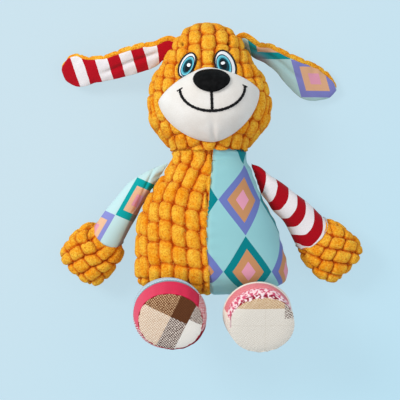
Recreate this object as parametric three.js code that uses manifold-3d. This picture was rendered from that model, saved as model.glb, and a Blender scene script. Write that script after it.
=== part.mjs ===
// A stuffed squeaky dog of sewn fabric panels, lying on its back. All lengths are in millimetres.
// +X runs to the toy's own left, +Y to the top of its head and +Z out of its belly. The floor is z = 0.
import * as THREE from "three";
import { mergeVertices } from "three/addons/utils/BufferGeometryUtils.js";
import Module from "manifold-3d";

const wasm = await Module();
wasm.setup();
const degrees = Math.PI / 180;

// Driving sizes of the whole toy
const seamHeight = 44; // the side seams, above the floor
const panelWall = 2.2; // a fabric panel with its pile
const clearance = 0.3; // between pieces that are sewn or packed together
const hemHalf = 0.5; // half the thickness of a pressed seam that works as a hinge
const seamGap = 0.6; // from such a seam's middle to the torso's outline
const overrun = 5; // how far a cutting form reaches past what it cuts

// Torso, measured from the neck seam at neckY down to the bottom seam
const torsoHeight = 136;
const torsoWidth = 145;
const torsoDepth = 89;
const neckY = 90;
const torsoBottomY = neckY - torsoHeight;
const torsoSideCap = 22; // height over which the flanks round under
const torsoFrontCap = 26; // height over which front and back round under
const torsoSquareness = 2.3;
const sideCapSquareness = 2.8;
const frontCapSquareness = 2;
// height, centre, half width, half depth: shares of the torso's height, width, half width and half depth
const bellShares = [
  [0, 0.002, 0.99, 0.97],
  [0.2, 0.002, 1, 1],
  [0.38, -0.017, 0.95, 1],
  [0.485, -0.026, 0.915, 0.997],
  [0.56, -0.034, 0.862, 0.965],
  [0.63, -0.039, 0.8, 0.91],
  [0.7, -0.038, 0.73, 0.835],
  [0.79, -0.026, 0.638, 0.77],
  [0.88, -0.013, 0.555, 0.705],
  [0.94, -0.012, 0.517, 0.675],
  [1, -0.016, 0.497, 0.66],
];
// the middle seam between plush and print: height share, distance from the origin as a share of the width
const middleSeamShares = [
  [0, -0.008],
  [0.11, -0.012],
  [0.27, -0.028],
  [0.49, -0.031],
  [0.66, -0.017],
  [0.83, -0.003],
  [1, 0.012],
];

// Neck: the torso closes in an ellipsoid turned about the nod axis, and the head has its socket
const neckHalfWidth = 33.5;
const neckRadius = 29;
const neckClearance = 0.4;
const neckCentreX = torsoWidth * bellShares.at(-1)[1];
const nodLimit = 12;
const nodMargin = 1.5;

// Head, from the neck seam to the crown
const headHeight = 122;
const headWidth = 118.5;
const headDepth = 89;
const headSquareness = 2.2;
const crownCap = 15;
const crownSquareness = 2.2;
// height, centre, half width, half depth: shares of the head's height, width, half width and half depth
const headShares = [
  [0, -0.016, 0.61, 0.708],
  [0.05, -0.018, 0.672, 0.775],
  [0.1, -0.018, 0.77, 0.843],
  [0.165, -0.016, 0.884, 0.921],
  [0.25, -0.012, 0.967, 0.989],
  [0.34, -0.01, 0.999, 1],
  [0.43, -0.014, 0.976, 1],
  [0.525, -0.019, 0.934, 0.978],
  [0.585, -0.021, 0.872, 0.944],
  [0.64, -0.023, 0.79, 0.899],
  [0.72, -0.025, 0.69, 0.82],
  [0.8, -0.022, 0.6, 0.73],
  [0.89, -0.022, 0.497, 0.6],
  [0.95, -0.028, 0.4, 0.48],
  [1, -0.034, 0.3, 0.36],
];

// Face: every piece lies on the head's front, each with its own tilt.
// across and up from the neck seam, half width and half height: shares of the head; then the tilt in degrees
const muzzleShares = [-0.019, 0.411, 0.4, 0.232, 6.6];
const noseShares = [0, 0.516, 0.143, 0.082, 0];
const rightEyeShares = [-0.182, 0.642, 0.0625, 0.1065, -25];
const leftEyeShares = [0.112, 0.639, 0.082, 0.124, 19];
const smileShares = [0, 0.466, 0.26, 0.178, 3.4]; // its corners, half width and drop
const muzzleDropShare = 0.351; // from the muzzle's middle down to its point under the chin
const muzzleBrowRoundness = 1.28;
const muzzleChinRoundness = 1.68;
const muzzleFullness = 2.4; // of the dome from its edge to its middle
const muzzleRise = 15;
const muzzleEdge = 1.6;
const noseCornerShare = 0.032; // how far its three corners stand out
const noseRise = 3.6;
const noseEdge = 1;
const eyeRise = 1.6;
const eyeEdge = 0.9;
const mouthWidth = 2;
const mouthRise = 1.2;
const smileEndBar = 7.5;

// Ears: a thin lining and a plush back, sewn to the head along a short seam and drooping to the floor.
// high and low, the ends of the root seam, are shares of the head's height, with rises over the side seams
const rightEarRoot = { side: -1, high: 0.865, highRise: 7, low: 0.705, lowRise: -4, gap: 1.1 };
const leftEarRoot = { side: 1, high: 0.918, highRise: 9, low: 0.791, lowRise: -9, gap: 3.1 };
const earLength = 110;
const liningWall = 2.4;
const earBackWall = 4.4;
const earRootSqueeze = 0.45; // share of their thickness that the layers keep at the root seam
const earLayerGap = 0.5; // between lining and back, which are sewn only at their edges
const earSquareness = 3;
// along, across, height, half width: shares of the ear's length; then the twist in degrees
const stripedEarShares = [
  [0.08, -0.012, -0.02, 0.088, 31],
  [0.17, -0.047, -0.055, 0.117, 34],
  [0.355, -0.1, -0.11, 0.122, 34],
  [0.525, -0.147, -0.164, 0.109, 30],
  [0.682, -0.165, -0.218, 0.114, 25],
  [0.755, -0.172, -0.243, 0.12, 22],
  [0.82, -0.165, -0.264, 0.106, 20],
  [0.905, -0.15, -0.28, 0.057, 20],
  [0.94, -0.14, -0.286, 0.025, 20],
];
const argyleEarShares = [
  [0.11, -0.052, -0.03, 0.087, 50],
  [0.213, -0.1, -0.11, 0.097, 42],
  [0.342, -0.19, -0.164, 0.119, 32],
  [0.471, -0.286, -0.218, 0.152, 24],
  [0.597, -0.345, -0.273, 0.156, 18],
  [0.72, -0.37, -0.313, 0.104, 15],
  [0.79, -0.378, -0.335, 0.06, 15],
  [0.82, -0.382, -0.345, 0.025, 15],
];

// Arms: a printed sleeve and a plush paw. Along is measured from the middle of the shoulder seam.
const shoulderTopShare = 0.915; // of the torso's height
const rightArmpitShare = 0.743;
const leftArmpitShare = 0.691;
const rightArmHeading = -131; // degrees from the +X axis
const leftArmHeading = -43.5;
const rightArmLength = 76;
const leftArmLength = 72;
const armThickness = 29; // at the wrist
const armSquareness = 2.2;
const armDroop = 12; // degrees that the arms slope down to the floor
// along, outer edge, inner edge: shares of the arm's length; half thickness: share of the arm's thickness
const rightSleeveShares = [
  [-0.053, 0.098, 0.223, -0.029, 0.17],
  [0.105, 0.158, 0.296, -0.05, 0.28],
  [0.29, 0.19, 0.408, -0.074, 0.36],
  [0.526, 0.197, 0.566, -0.114, 0.4],
  [0.763, 0.207, 0.763, -0.135, 0.43],
  [1.013, 0.214, 0.993, -0.205, 0.5],
];
const leftSleeveShares = [
  [-0.07, 0.142, 0.25, -0.102, 0.17],
  [0.085, 0.152, 0.32, -0.113, 0.28],
  [0.305, 0.197, 0.43, -0.135, 0.36],
  [0.555, 0.214, 0.61, -0.156, 0.4],
  [0.79, 0.236, 0.8, -0.196, 0.43],
  [1.005, 0.253, 0.985, -0.27, 0.5],
];
const pawLength = 51;
const pawWidth = 51;
const pawThickness = 42;
const pawSquareness = 2.7;
// along, half width, half thickness: shares of the paw's length, half width and half thickness
const pawShares = [
  [0.07, 0.77, 0.8],
  [0.2, 0.91, 0.93],
  [0.4, 0.98, 1],
  [0.6, 1, 1],
  [0.78, 0.97, 0.93],
  [0.9, 0.85, 0.78],
  [0.97, 0.62, 0.52],
];

// Legs: a flat hip seam that swells into a round boot with a flat sole
const legLength = 74;
const bootWidth = 67.5;
const bootSquareness = 2.15;
const rightLegLean = 16; // degrees from straight up towards the feet's end of the toy
const leftLegLean = 19.6;
const hipHalfWidth = 20;
const hipGap = 1.7; // from the bottom seam to the middle of the rolled hip hem
const rightHipShare = -0.252; // the hip seam's middle, a share of the torso's width
const leftHipShare = 0.2745;
// along: share of the leg's length; upper edge, lower edge, half width: shares of the boot's half width
const legShares = [
  [0.16, 0.13, 0.3, 0.65],
  [0.3, 0.29, 0.56, 0.77],
  [0.42, 0.53, 0.77, 0.89],
  [0.56, 0.84, 0.92, 0.98],
  [0.74, 0.99, 0.98, 1],
  [0.89, 0.98, 0.965, 0.98],
  [1, 0.905, 0.905, 0.905],
];
const soleWall = 2.6;
const soleCrown = 1.6;
// radius of the sole's rings from its inner face to its middle, shares of the boot's half width
const soleShares = [0.895, 0.895, 0.832, 0.537];

// Squeaker: a blow-moulded bellows bulb with a reed insert, in a pocket of the filling
const squeakerRadius = 19;
const squeakerHeightShare = 0.382; // up the torso from its bottom seam
const squeakerX = -2;
const squeakerDrop = 15; // from the side seams down to its base
const squeakerBaseZ = seamHeight - squeakerDrop;
const squeakerBaseHeight = 6;
const bellowsHeight = 19;
const bellowsFolds = 3;
const bellowsDepth = 3.2;
const bellowsWall = 1;
const squeakerTopHeight = 5;
const squeakerWall = 1.4;
const reedRadius = 5;
const reedHeight = 9;
const reedBore = 2.2;
const pocketClearance = 1;

// Faces round each form
const torsoSides = 28;
const headSides = 28;
const limbSides = 16;
const earSides = 12;
const domeSides = 20;
const muzzleSides = 36;
const noseSides = 24;
const eyeSides = 20;
const smileSteps = 7; // to each side of its middle
const capRings = 4;
const torsoRings = 9;
const headRings = 11;
// radius of the rings of a domed piece as shares of its outline's
const muzzleRingShares = [1, 0.97, 0.9, 0.78, 0.6, 0.35];
const noseRingShares = [1, 0.93, 0.75, 0.45];
const eyeRingShares = [1, 0.8, 0.45];
const firstRingShare = 0.02; // of a rounded end's height, where its first ring lies

// The fabric colours
const colours = {
  plush: 0xf3a52b,
  print: 0x98cdca,
  cream: 0xe8dfd0,
  white: 0xeae6e2,
  stripe: 0xb5213b,
  black: 0x181818,
  iris: 0x4fbccb,
  boot: 0xdf4a64,
  check: 0xd9c4ad,
  fibre: 0xf4f4f2,
  rubber: 0xf2efe6,
};

// Solids

// A closed three.js geometry as a solid, turned face out when its order is inside out.
function solidOf(geometry) {
  const bare = geometry.clone();
  bare.deleteAttribute("normal");
  bare.deleteAttribute("uv");
  const merged = mergeVertices(bare);
  const corners = merged.attributes.position.array;
  const faces = new Uint32Array(merged.index.array);
  if (enclosed(corners, faces) < 0) faces.reverse();
  return new wasm.Manifold(new wasm.Mesh({ numProp: 3, vertProperties: corners, triVerts: faces }));
}

// Six times the volume inside a triangle mesh, negative when its faces point inwards.
function enclosed(corners, faces) {
  const [a, b, c] = [new THREE.Vector3(), new THREE.Vector3(), new THREE.Vector3()];
  let sum = 0;
  for (let i = 0; i < faces.length; i += 3) {
    a.fromArray(corners, faces[i] * 3);
    b.fromArray(corners, faces[i + 1] * 3);
    c.fromArray(corners, faces[i + 2] * 3);
    sum += a.dot(b.cross(c));
  }
  return sum;
}

function geometryOf(solid) {
  const mesh = solid.getMesh();
  return new THREE.BufferGeometry()
    .setAttribute("position", new THREE.BufferAttribute(mesh.vertProperties, 3))
    .setIndex(new THREE.BufferAttribute(mesh.triVerts, 1));
}

function piece(name, solid, colour, roughness = 0.9) {
  const geometry = geometryOf(solid).toNonIndexed();
  geometry.computeVertexNormals();
  const material = new THREE.MeshStandardMaterial({ color: colour, roughness, metalness: 0 });
  const mesh = new THREE.Mesh(geometry, material);
  mesh.name = name;
  return mesh;
}

// A superellipse ring about centre, in the plane of two unit vectors.
function oval(centre, across, through, halfAcross, halfThrough, squareness, sides) {
  const bend = (value) => Math.sign(value) * Math.abs(value) ** (2 / squareness);
  return Array.from({ length: sides }, (_, i) => {
    const angle = (2 * Math.PI * i) / sides;
    return centre
      .clone()
      .addScaledVector(across, halfAcross * bend(Math.cos(angle)))
      .addScaledVector(through, halfThrough * bend(Math.sin(angle)));
  });
}

// A closed skin through rings of equal count, each end closed by a fan to the middle of its ring.
function loft(rings) {
  const sides = rings[0].length;
  const middle = (ring) => ring.reduce((sum, p) => sum.add(p), new THREE.Vector3()).divideScalar(ring.length);
  const points = [...rings.flat(), middle(rings[0]), middle(rings.at(-1))];
  const faces = [];
  const lastRing = (rings.length - 1) * sides;
  for (let s = 0; s < sides; s++) {
    const next = (s + 1) % sides;
    for (let base = 0; base < lastRing; base += sides) {
      faces.push(base + s, base + next, base + sides + s);
      faces.push(base + next, base + sides + next, base + sides + s);
    }
    faces.push(next, s, points.length - 2);
    faces.push(lastRing + s, lastRing + next, points.length - 1);
  }
  return solidOf(new THREE.BufferGeometry().setFromPoints(points).setIndex(faces));
}

// The row of a table at a share of its first column, smooth between the rows.
function rowAt(table, share) {
  let i = 0;
  while (i < table.length - 2 && share > table[i + 1][0]) i++;
  const [from, to] = [table[i], table[i + 1]];
  const before = table[Math.max(i - 1, 0)];
  const after = table[Math.min(i + 2, table.length - 1)];
  const span = to[0] - from[0];
  const t = Math.min(Math.max((share - from[0]) / span, 0), 1);
  return from.map((_, column) => {
    const slopeFrom = ((to[column] - before[column]) / (to[0] - before[0])) * span;
    const slopeTo = ((after[column] - from[column]) / (after[0] - from[0])) * span;
    return (
      from[column] * (1 + 2 * t) * (1 - t) ** 2 +
      slopeFrom * t * (1 - t) ** 2 +
      to[column] * t * t * (3 - 2 * t) +
      slopeTo * t * t * (t - 1)
    );
  });
}

// How far a form has opened at a distance from its closed end, from 0 to 1.
function opening(distance, cap, squareness) {
  const left = Math.max(1 - distance / cap, 0);
  return (1 - left ** squareness) ** (1 / squareness);
}

function box(from, to) {
  const size = new THREE.Vector3().subVectors(to, from);
  const geometry = new THREE.BoxGeometry(size.x, size.y, size.z);
  return solidOf(geometry.translate(from.x + size.x / 2, from.y + size.y / 2, from.z + size.z / 2));
}

// Everything of the toy's reach on one side of the side seams.
const reach = torsoHeight + headHeight;
const inFront = (gap) =>
  box(new THREE.Vector3(-reach, -reach, seamHeight + gap), new THREE.Vector3(reach, reach, reach));
const behind = (gap) =>
  box(new THREE.Vector3(-reach, -reach, 0), new THREE.Vector3(reach, reach, seamHeight - gap));
const aboveFloor = () => box(new THREE.Vector3(-reach, -reach, 0), new THREE.Vector3(reach, reach, reach));

const unit = {
  x: new THREE.Vector3(1, 0, 0),
  y: new THREE.Vector3(0, 1, 0),
  z: new THREE.Vector3(0, 0, 1),
};

// Torso forms

// Half sizes and centre of the torso at a height, for its skin or for a form set in from it.
function torsoAt(y, inset = 0) {
  const [, centre, width, depth] = rowAt(bellShares, (y - torsoBottomY) / torsoHeight);
  const up = y - torsoBottomY - inset;
  return {
    x: centre * torsoWidth,
    width: ((width * torsoWidth) / 2 - inset) * opening(up, torsoSideCap - inset, sideCapSquareness),
    depth: ((depth * torsoDepth) / 2 - inset) * opening(up, torsoFrontCap - inset, frontCapSquareness),
  };
}

// The neck's ellipsoid, which a nod about the X axis leaves where it is.
function neckDome(grow) {
  const dome = new THREE.SphereGeometry(1, domeSides, domeSides / 2).rotateZ(Math.PI / 2);
  dome.scale(neckHalfWidth + grow, neckRadius + grow, neckRadius + grow);
  return solidOf(dome.translate(neckCentreX, neckY, seamHeight));
}

// The room under the nodding head: a roof that falls away to the front and the back.
function underRoof(drop) {
  const fall = Math.tan((nodLimit + nodMargin) * degrees) * reach;
  const ridge = neckY - drop;
  const outline = new THREE.Shape([
    new THREE.Vector2(seamHeight, ridge),
    new THREE.Vector2(seamHeight + reach, ridge - fall),
    new THREE.Vector2(seamHeight + reach, ridge - fall - reach),
    new THREE.Vector2(seamHeight - reach, ridge - fall - reach),
    new THREE.Vector2(seamHeight - reach, ridge - fall),
  ]);
  const roof = new THREE.ExtrudeGeometry(outline, { depth: 2 * reach, bevelEnabled: false });
  return solidOf(roof.rotateY(-Math.PI / 2).translate(reach, 0, 0));
}

// How far a cap's ring lies from its closed end, as a share of the cap: the rings crowd towards that end.
const capRingShare = (i) => 1 - Math.cos((i / capRings) * (Math.PI / 2));

function torsoForm(inset = 0) {
  const bottom = torsoBottomY + inset;
  const cap = torsoFrontCap - inset;
  const heights = [bottom + cap * firstRingShare];
  for (let i = 2; i <= capRings; i++) heights.push(bottom + cap * capRingShare(i));
  const rest = neckY - bottom - cap;
  for (let i = 1; i <= torsoRings; i++) heights.push(bottom + cap + (rest * i) / torsoRings);
  const rings = heights.map((y) => {
    const at = torsoAt(y, inset);
    const centre = new THREE.Vector3(at.x, y, seamHeight);
    return oval(centre, unit.x, unit.z, at.width, at.depth, torsoSquareness, torsoSides);
  });
  const bell = loft(rings).intersect(underRoof(clearance / 2 + inset));
  return bell.add(neckDome(-inset)).intersect(aboveFloor());
}

// The torso's front on one side of the seam that runs down its middle.
function besideMiddleSeam(side) {
  const edge = middleSeamShares.map(
    ([height, out]) =>
      new THREE.Vector2(out * torsoWidth + (side * clearance) / 2, torsoBottomY + height * torsoHeight),
  );
  const top = neckY + neckRadius + overrun;
  const bottom = torsoBottomY - overrun;
  const curve = new THREE.SplineCurve(edge).getPoints(2 * edge.length);
  const outline = new THREE.Shape([
    new THREE.Vector2(side * torsoWidth, bottom),
    new THREE.Vector2(curve[0].x, bottom),
    ...curve,
    new THREE.Vector2(curve.at(-1).x, top),
    new THREE.Vector2(side * torsoWidth, top),
  ]);
  return solidOf(new THREE.ExtrudeGeometry(outline, { depth: torsoDepth + overrun, bevelEnabled: false }));
}

// Squeaker

function turned(outline) {
  const points = outline.map(([radius, z]) => new THREE.Vector2(radius, z));
  const lathe = new THREE.LatheGeometry(points, domeSides).rotateX(Math.PI / 2);
  return solidOf(lathe.translate(squeakerX, torsoBottomY + squeakerHeightShare * torsoHeight, 0));
}

const bellowsBaseZ = squeakerBaseZ + squeakerBaseHeight + clearance;
const squeakerTopZ = bellowsBaseZ + bellowsHeight + clearance;

function squeakerPieces() {
  const baseTop = squeakerBaseZ + squeakerBaseHeight;
  const base = turned([
    [reedRadius + clearance, squeakerBaseZ],
    [squeakerRadius, squeakerBaseZ],
    [squeakerRadius, baseTop],
    [squeakerRadius - squeakerWall, baseTop],
    [squeakerRadius - squeakerWall, squeakerBaseZ + squeakerWall],
    [reedRadius + clearance, squeakerBaseZ + squeakerWall],
    [reedRadius + clearance, squeakerBaseZ],
  ]);
  const reed = turned([
    [reedBore, squeakerBaseZ - squeakerWall - clearance],
    [reedRadius + squeakerWall, squeakerBaseZ - squeakerWall - clearance],
    [reedRadius + squeakerWall, squeakerBaseZ - clearance],
    [reedRadius, squeakerBaseZ - clearance],
    [reedRadius, squeakerBaseZ - clearance + reedHeight],
    [reedBore, squeakerBaseZ - clearance + reedHeight],
    [reedBore, squeakerBaseZ - squeakerWall - clearance],
  ]);
  const zigzag = Array.from({ length: 2 * bellowsFolds + 1 }, (_, i) => [
    squeakerRadius - (i % 2) * bellowsDepth,
    bellowsBaseZ + (bellowsHeight * i) / (2 * bellowsFolds),
  ]);
  const inside = zigzag.map(([radius, z]) => [radius - bellowsWall, z]).reverse();
  const bellows = turned([...zigzag, ...inside, zigzag[0]]);
  const top = turned([
    [0, squeakerTopZ + squeakerTopHeight],
    [0, squeakerTopZ + squeakerTopHeight - squeakerWall],
    [squeakerRadius - bellowsDepth, squeakerTopZ + squeakerTopHeight - 2 * squeakerWall],
    [squeakerRadius - squeakerWall, squeakerTopZ],
    [squeakerRadius, squeakerTopZ],
    [squeakerRadius - squeakerWall, squeakerTopZ + squeakerTopHeight - squeakerWall],
    [0, squeakerTopZ + squeakerTopHeight],
  ]);
  return [
    piece("squeaker_base", base, colours.rubber, 0.5),
    piece("squeaker_reed", reed, colours.white, 0.4),
    piece("squeaker_bellows", bellows, colours.rubber, 0.5),
    piece("squeaker_top", top, colours.rubber, 0.5),
  ];
}

function squeakerPocket() {
  const radius = squeakerRadius + pocketClearance;
  const bottom = squeakerBaseZ - squeakerWall - clearance - pocketClearance;
  const top = squeakerTopZ + squeakerTopHeight + pocketClearance;
  return turned([
    [0, bottom],
    [radius, bottom],
    [radius, top],
    [0, top],
  ]);
}

function torsoPieces() {
  const inside = torsoForm(panelWall);
  const shell = torsoForm().subtract(inside);
  const front = shell.intersect(inFront(clearance / 2));
  const stuffing = torsoForm(panelWall + clearance).subtract(squeakerPocket());
  return [
    piece("torso_front_plush", front.intersect(besideMiddleSeam(-1)), colours.plush),
    piece("torso_front_print", front.intersect(besideMiddleSeam(1)), colours.print),
    piece("torso_back", shell.intersect(behind(clearance / 2)), colours.plush),
    piece("torso_filling_front", stuffing.intersect(inFront(clearance / 2)), colours.fibre),
    piece("torso_filling_back", stuffing.intersect(behind(clearance / 2)), colours.fibre),
  ];
}

// Head forms

function headAt(y, inset = 0) {
  const [, centre, width, depth] = rowAt(headShares, (y - neckY) / headHeight);
  const down = neckY + headHeight - inset - y;
  const open = opening(down, crownCap - inset, crownSquareness);
  return {
    x: centre * headWidth,
    width: ((width * headWidth) / 2 - inset) * open,
    depth: ((depth * headDepth) / 2 - inset) * open,
  };
}

// Height of the head's front above the floor, at a place seen from the front.
function headFront(x, y) {
  const at = headAt(y);
  const out = Math.min(Math.abs((x - at.x) / at.width), 1);
  return seamHeight + at.depth * (1 - out ** headSquareness) ** (1 / headSquareness);
}

// Where the head's flank is at a height along it and above the floor.
function headSide(side, y, z) {
  const at = headAt(y);
  const out = Math.min(Math.abs((z - seamHeight) / at.depth), 1);
  const wide = at.width * (1 - out ** headSquareness) ** (1 / headSquareness);
  return new THREE.Vector3(at.x + side * wide, y, z);
}

function headForm(inset = 0, below = 0) {
  const bottom = neckY + clearance / 2;
  const crown = neckY + headHeight - inset;
  const cap = crownCap - inset;
  const rest = crown - cap - bottom;
  const heights = Array.from({ length: headRings }, (_, i) => bottom + (rest * i) / headRings);
  if (below) heights.unshift(bottom - below);
  for (let i = capRings; i > 0; i--) heights.push(crown - cap * capRingShare(i));
  heights.push(crown - cap * firstRingShare);
  const rings = heights.map((y) => {
    const at = headAt(y, inset);
    const centre = new THREE.Vector3(at.x, y, seamHeight);
    return oval(centre, unit.x, unit.z, at.width, at.depth, headSquareness, headSides);
  });
  return loft(rings).intersect(aboveFloor());
}

function headPieces() {
  const socket = neckDome(neckClearance);
  const shell = headForm().subtract(headForm(panelWall, overrun)).subtract(socket);
  const stuffing = headForm(panelWall + clearance).subtract(socket);
  return [
    piece("head_front", shell.intersect(inFront(clearance / 2)), colours.plush),
    piece("head_back", shell.intersect(behind(clearance / 2)), colours.plush),
    piece("head_filling", stuffing, colours.fibre),
  ];
}

// Face pieces

// The middle, half sizes and turn of a face piece.
function facePlace([across, up, halfWidth, halfHeight, tilt]) {
  return {
    x: across * headWidth,
    y: neckY + up * headHeight,
    halfWidth: halfWidth * headWidth,
    halfHeight: halfHeight * headHeight,
    turn: tilt * degrees,
  };
}

// A place given along a face piece's own tilted axes from its middle.
function onFace({ x, y, turn }, along, up) {
  return {
    x: x + along * Math.cos(turn) - up * Math.sin(turn),
    y: y + along * Math.sin(turn) + up * Math.cos(turn),
    turn,
  };
}

const muzzlePlace = facePlace(muzzleShares);
const nosePlace = facePlace(noseShares);
const smilePlace = facePlace(smileShares);

// How high a dome stands at a share of its radius.
const domed = (share) => (1 - share ** muzzleFullness) ** (1 / 2);

// A domed patch on the head. The outline is a radius for each angle, and the dome rises towards its middle.
function patch({ centre, outline, ground, edge, rise, sides, steps, grow = 0 }) {
  const points = [];
  const ringAt = (share, height) => {
    for (let s = 0; s < sides; s++) {
      const angle = (2 * Math.PI * s) / sides;
      const radius = (outline(angle) + grow) * share;
      const at = onFace(centre, radius * Math.cos(angle), radius * Math.sin(angle));
      points.push(new THREE.Vector3(at.x, at.y, ground(at.x, at.y) + height));
    }
  };
  ringAt(1, -panelWall - overrun);
  for (const share of steps) ringAt(share, grow + edge + rise * domed(share));
  const top = points.length;
  points.push(new THREE.Vector3(centre.x, centre.y, ground(centre.x, centre.y) + grow + edge + rise));
  const foot = points.length;
  points.push(new THREE.Vector3(centre.x, centre.y, seamHeight));
  const faces = [];
  for (let s = 0; s < sides; s++) {
    const next = (s + 1) % sides;
    for (let base = 0; base < top - sides; base += sides) {
      faces.push(base + s, base + next, base + sides + s);
      faces.push(base + next, base + sides + next, base + sides + s);
    }
    faces.push(top - sides + s, top - sides + next, top);
    faces.push(next, s, foot);
  }
  return solidOf(new THREE.BufferGeometry().setFromPoints(points).setIndex(faces));
}

// The radius of a superellipse at an angle.
const superRadius = (halfWidth, halfHeight, power) => (angle) => {
  const across = Math.abs(Math.cos(angle) / halfWidth) ** power;
  const up = Math.abs(Math.sin(angle) / halfHeight) ** power;
  return (across + up) ** (-1 / power);
};

// The muzzle's upper edge runs up to a low point over the nose, and its lower edge down to the chin.
const muzzleBrow = superRadius(muzzlePlace.halfWidth, muzzlePlace.halfHeight, muzzleBrowRoundness);
const muzzleChin = superRadius(muzzlePlace.halfWidth, muzzleDropShare * headHeight, muzzleChinRoundness);
const muzzleOutline = (angle) => (Math.sin(angle) > 0 ? muzzleBrow(angle) : muzzleChin(angle));

function muzzleForm(grow) {
  return patch({
    centre: muzzlePlace,
    outline: muzzleOutline,
    ground: headFront,
    edge: muzzleEdge,
    rise: muzzleRise,
    sides: muzzleSides,
    steps: muzzleRingShares,
    grow,
  });
}

// Height of the muzzle's dome above the floor, or of the head beside it.
function muzzleFront(x, y) {
  const across = x - muzzlePlace.x;
  const up = y - muzzlePlace.y;
  const angle = Math.atan2(up, across) - muzzlePlace.turn;
  const share = Math.hypot(across, up) / muzzleOutline(angle);
  const dome = share < 1 ? muzzleEdge + muzzleRise * domed(share) : 0;
  return headFront(x, y) + dome;
}

// An oval drawn a little to a point at its foot, for the nose.
function noseOutline(angle) {
  const oval = superRadius(nosePlace.halfWidth, nosePlace.halfHeight, 2)(angle);
  return oval * (1 + noseCornerShare * Math.sin(3 * angle));
}

function noseForm(grow) {
  return patch({
    centre: nosePlace,
    outline: noseOutline,
    ground: muzzleFront,
    edge: noseEdge,
    rise: noseRise,
    sides: noseSides,
    steps: noseRingShares,
    grow,
  });
}

function eyeForm(shares) {
  const place = facePlace(shares);
  return patch({
    centre: place,
    outline: superRadius(place.halfWidth, place.halfHeight, 2),
    ground: headFront,
    edge: eyeEdge,
    rise: eyeRise,
    sides: eyeSides,
    steps: eyeRingShares,
  });
}

// A strip of satin stitch that follows a line over the muzzle.
function stitchLine(line) {
  const rings = line.map((at, i) => {
    const before = line[Math.max(i - 1, 0)];
    const after = line[Math.min(i + 1, line.length - 1)];
    const across = new THREE.Vector3(before.y - after.y, after.x - before.x, 0).normalize();
    const ground = muzzleFront(at.x, at.y) + clearance;
    const corner = (side, height) =>
      new THREE.Vector3(at.x, at.y, ground + height).addScaledVector(across, (side * mouthWidth) / 2);
    return [corner(1, mouthRise), corner(1, -overrun), corner(-1, -overrun), corner(-1, mouthRise)];
  });
  return loft(rings);
}

function mouth() {
  const smile = Array.from({ length: 2 * smileSteps + 1 }, (_, i) => {
    const angle = (Math.PI * i) / (2 * smileSteps);
    const along = -smilePlace.halfWidth * Math.cos(angle);
    return onFace(smilePlace, along, -smilePlace.halfHeight * Math.sin(angle));
  });
  const under = onFace(nosePlace, 0, -nosePlace.halfHeight - mouthWidth);
  const lip = smile[smileSteps];
  const ridge = Array.from({ length: smileSteps }, (_, i) => ({
    x: under.x + ((lip.x - under.x) * i) / (smileSteps - 1),
    y: under.y + ((lip.y - under.y) * i) / (smileSteps - 1),
  }));
  const bars = [smile[0], smile.at(-1)].map((corner, i) => {
    const side = i * 2 - 1;
    const [inner, outer] = [-1, 1].map((end) => {
      return onFace(corner, (end * smileEndBar) / 2, (-end * side * smileEndBar) / 4);
    });
    return stitchLine([inner, corner, outer]);
  });
  return [stitchLine(smile), stitchLine(ridge), ...bars];
}

function facePieces() {
  const head = headForm(-clearance);
  const muzzleRoom = muzzleForm(clearance);
  const noseRoom = noseForm(clearance);
  const eye = (shares) => eyeForm(shares).subtract(head).subtract(muzzleRoom).subtract(noseRoom);
  const stitches = mouth().reduce((all, line) => all.add(line));
  return [
    piece("muzzle", muzzleForm(0).subtract(head), colours.white),
    piece("nose", noseForm(0).subtract(muzzleRoom).subtract(head), colours.black),
    piece("mouth_stitching", stitches.subtract(muzzleRoom).subtract(head), colours.black),
    piece("right_eye", eye(rightEyeShares), colours.iris),
    piece("left_eye", eye(leftEyeShares), colours.iris),
  ];
}

// Ears

// The ends of an ear's root seam on the head. The upper end lies nearer the front, so the ear starts twisted.
function earRootEnds(root) {
  const top = headSide(root.side, neckY + root.high * headHeight, seamHeight + root.highRise);
  const low = headSide(root.side, neckY + root.low * headHeight, seamHeight + root.lowRise);
  const along = new THREE.Vector3().subVectors(top, low);
  const out = new THREE.Vector3(root.side * along.y, -root.side * along.x, 0).normalize();
  return { top: top.addScaledVector(out, root.gap), low: low.addScaledVector(out, root.gap), out };
}

// An ear lies in a group whose Y runs along its root seam and whose Z is the way its lining faces.
function earGroup(root) {
  const ends = earRootEnds(root);
  const along = new THREE.Vector3().subVectors(ends.top, ends.low).multiplyScalar(root.side).normalize();
  const group = new THREE.Group();
  group.position.copy(ends.top).add(ends.low).divideScalar(2);
  const facing = new THREE.Vector3().crossVectors(ends.out, along);
  group.quaternion.setFromRotationMatrix(new THREE.Matrix4().makeBasis(ends.out, along, facing));
  group.updateMatrixWorld(true);
  return group;
}

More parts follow.
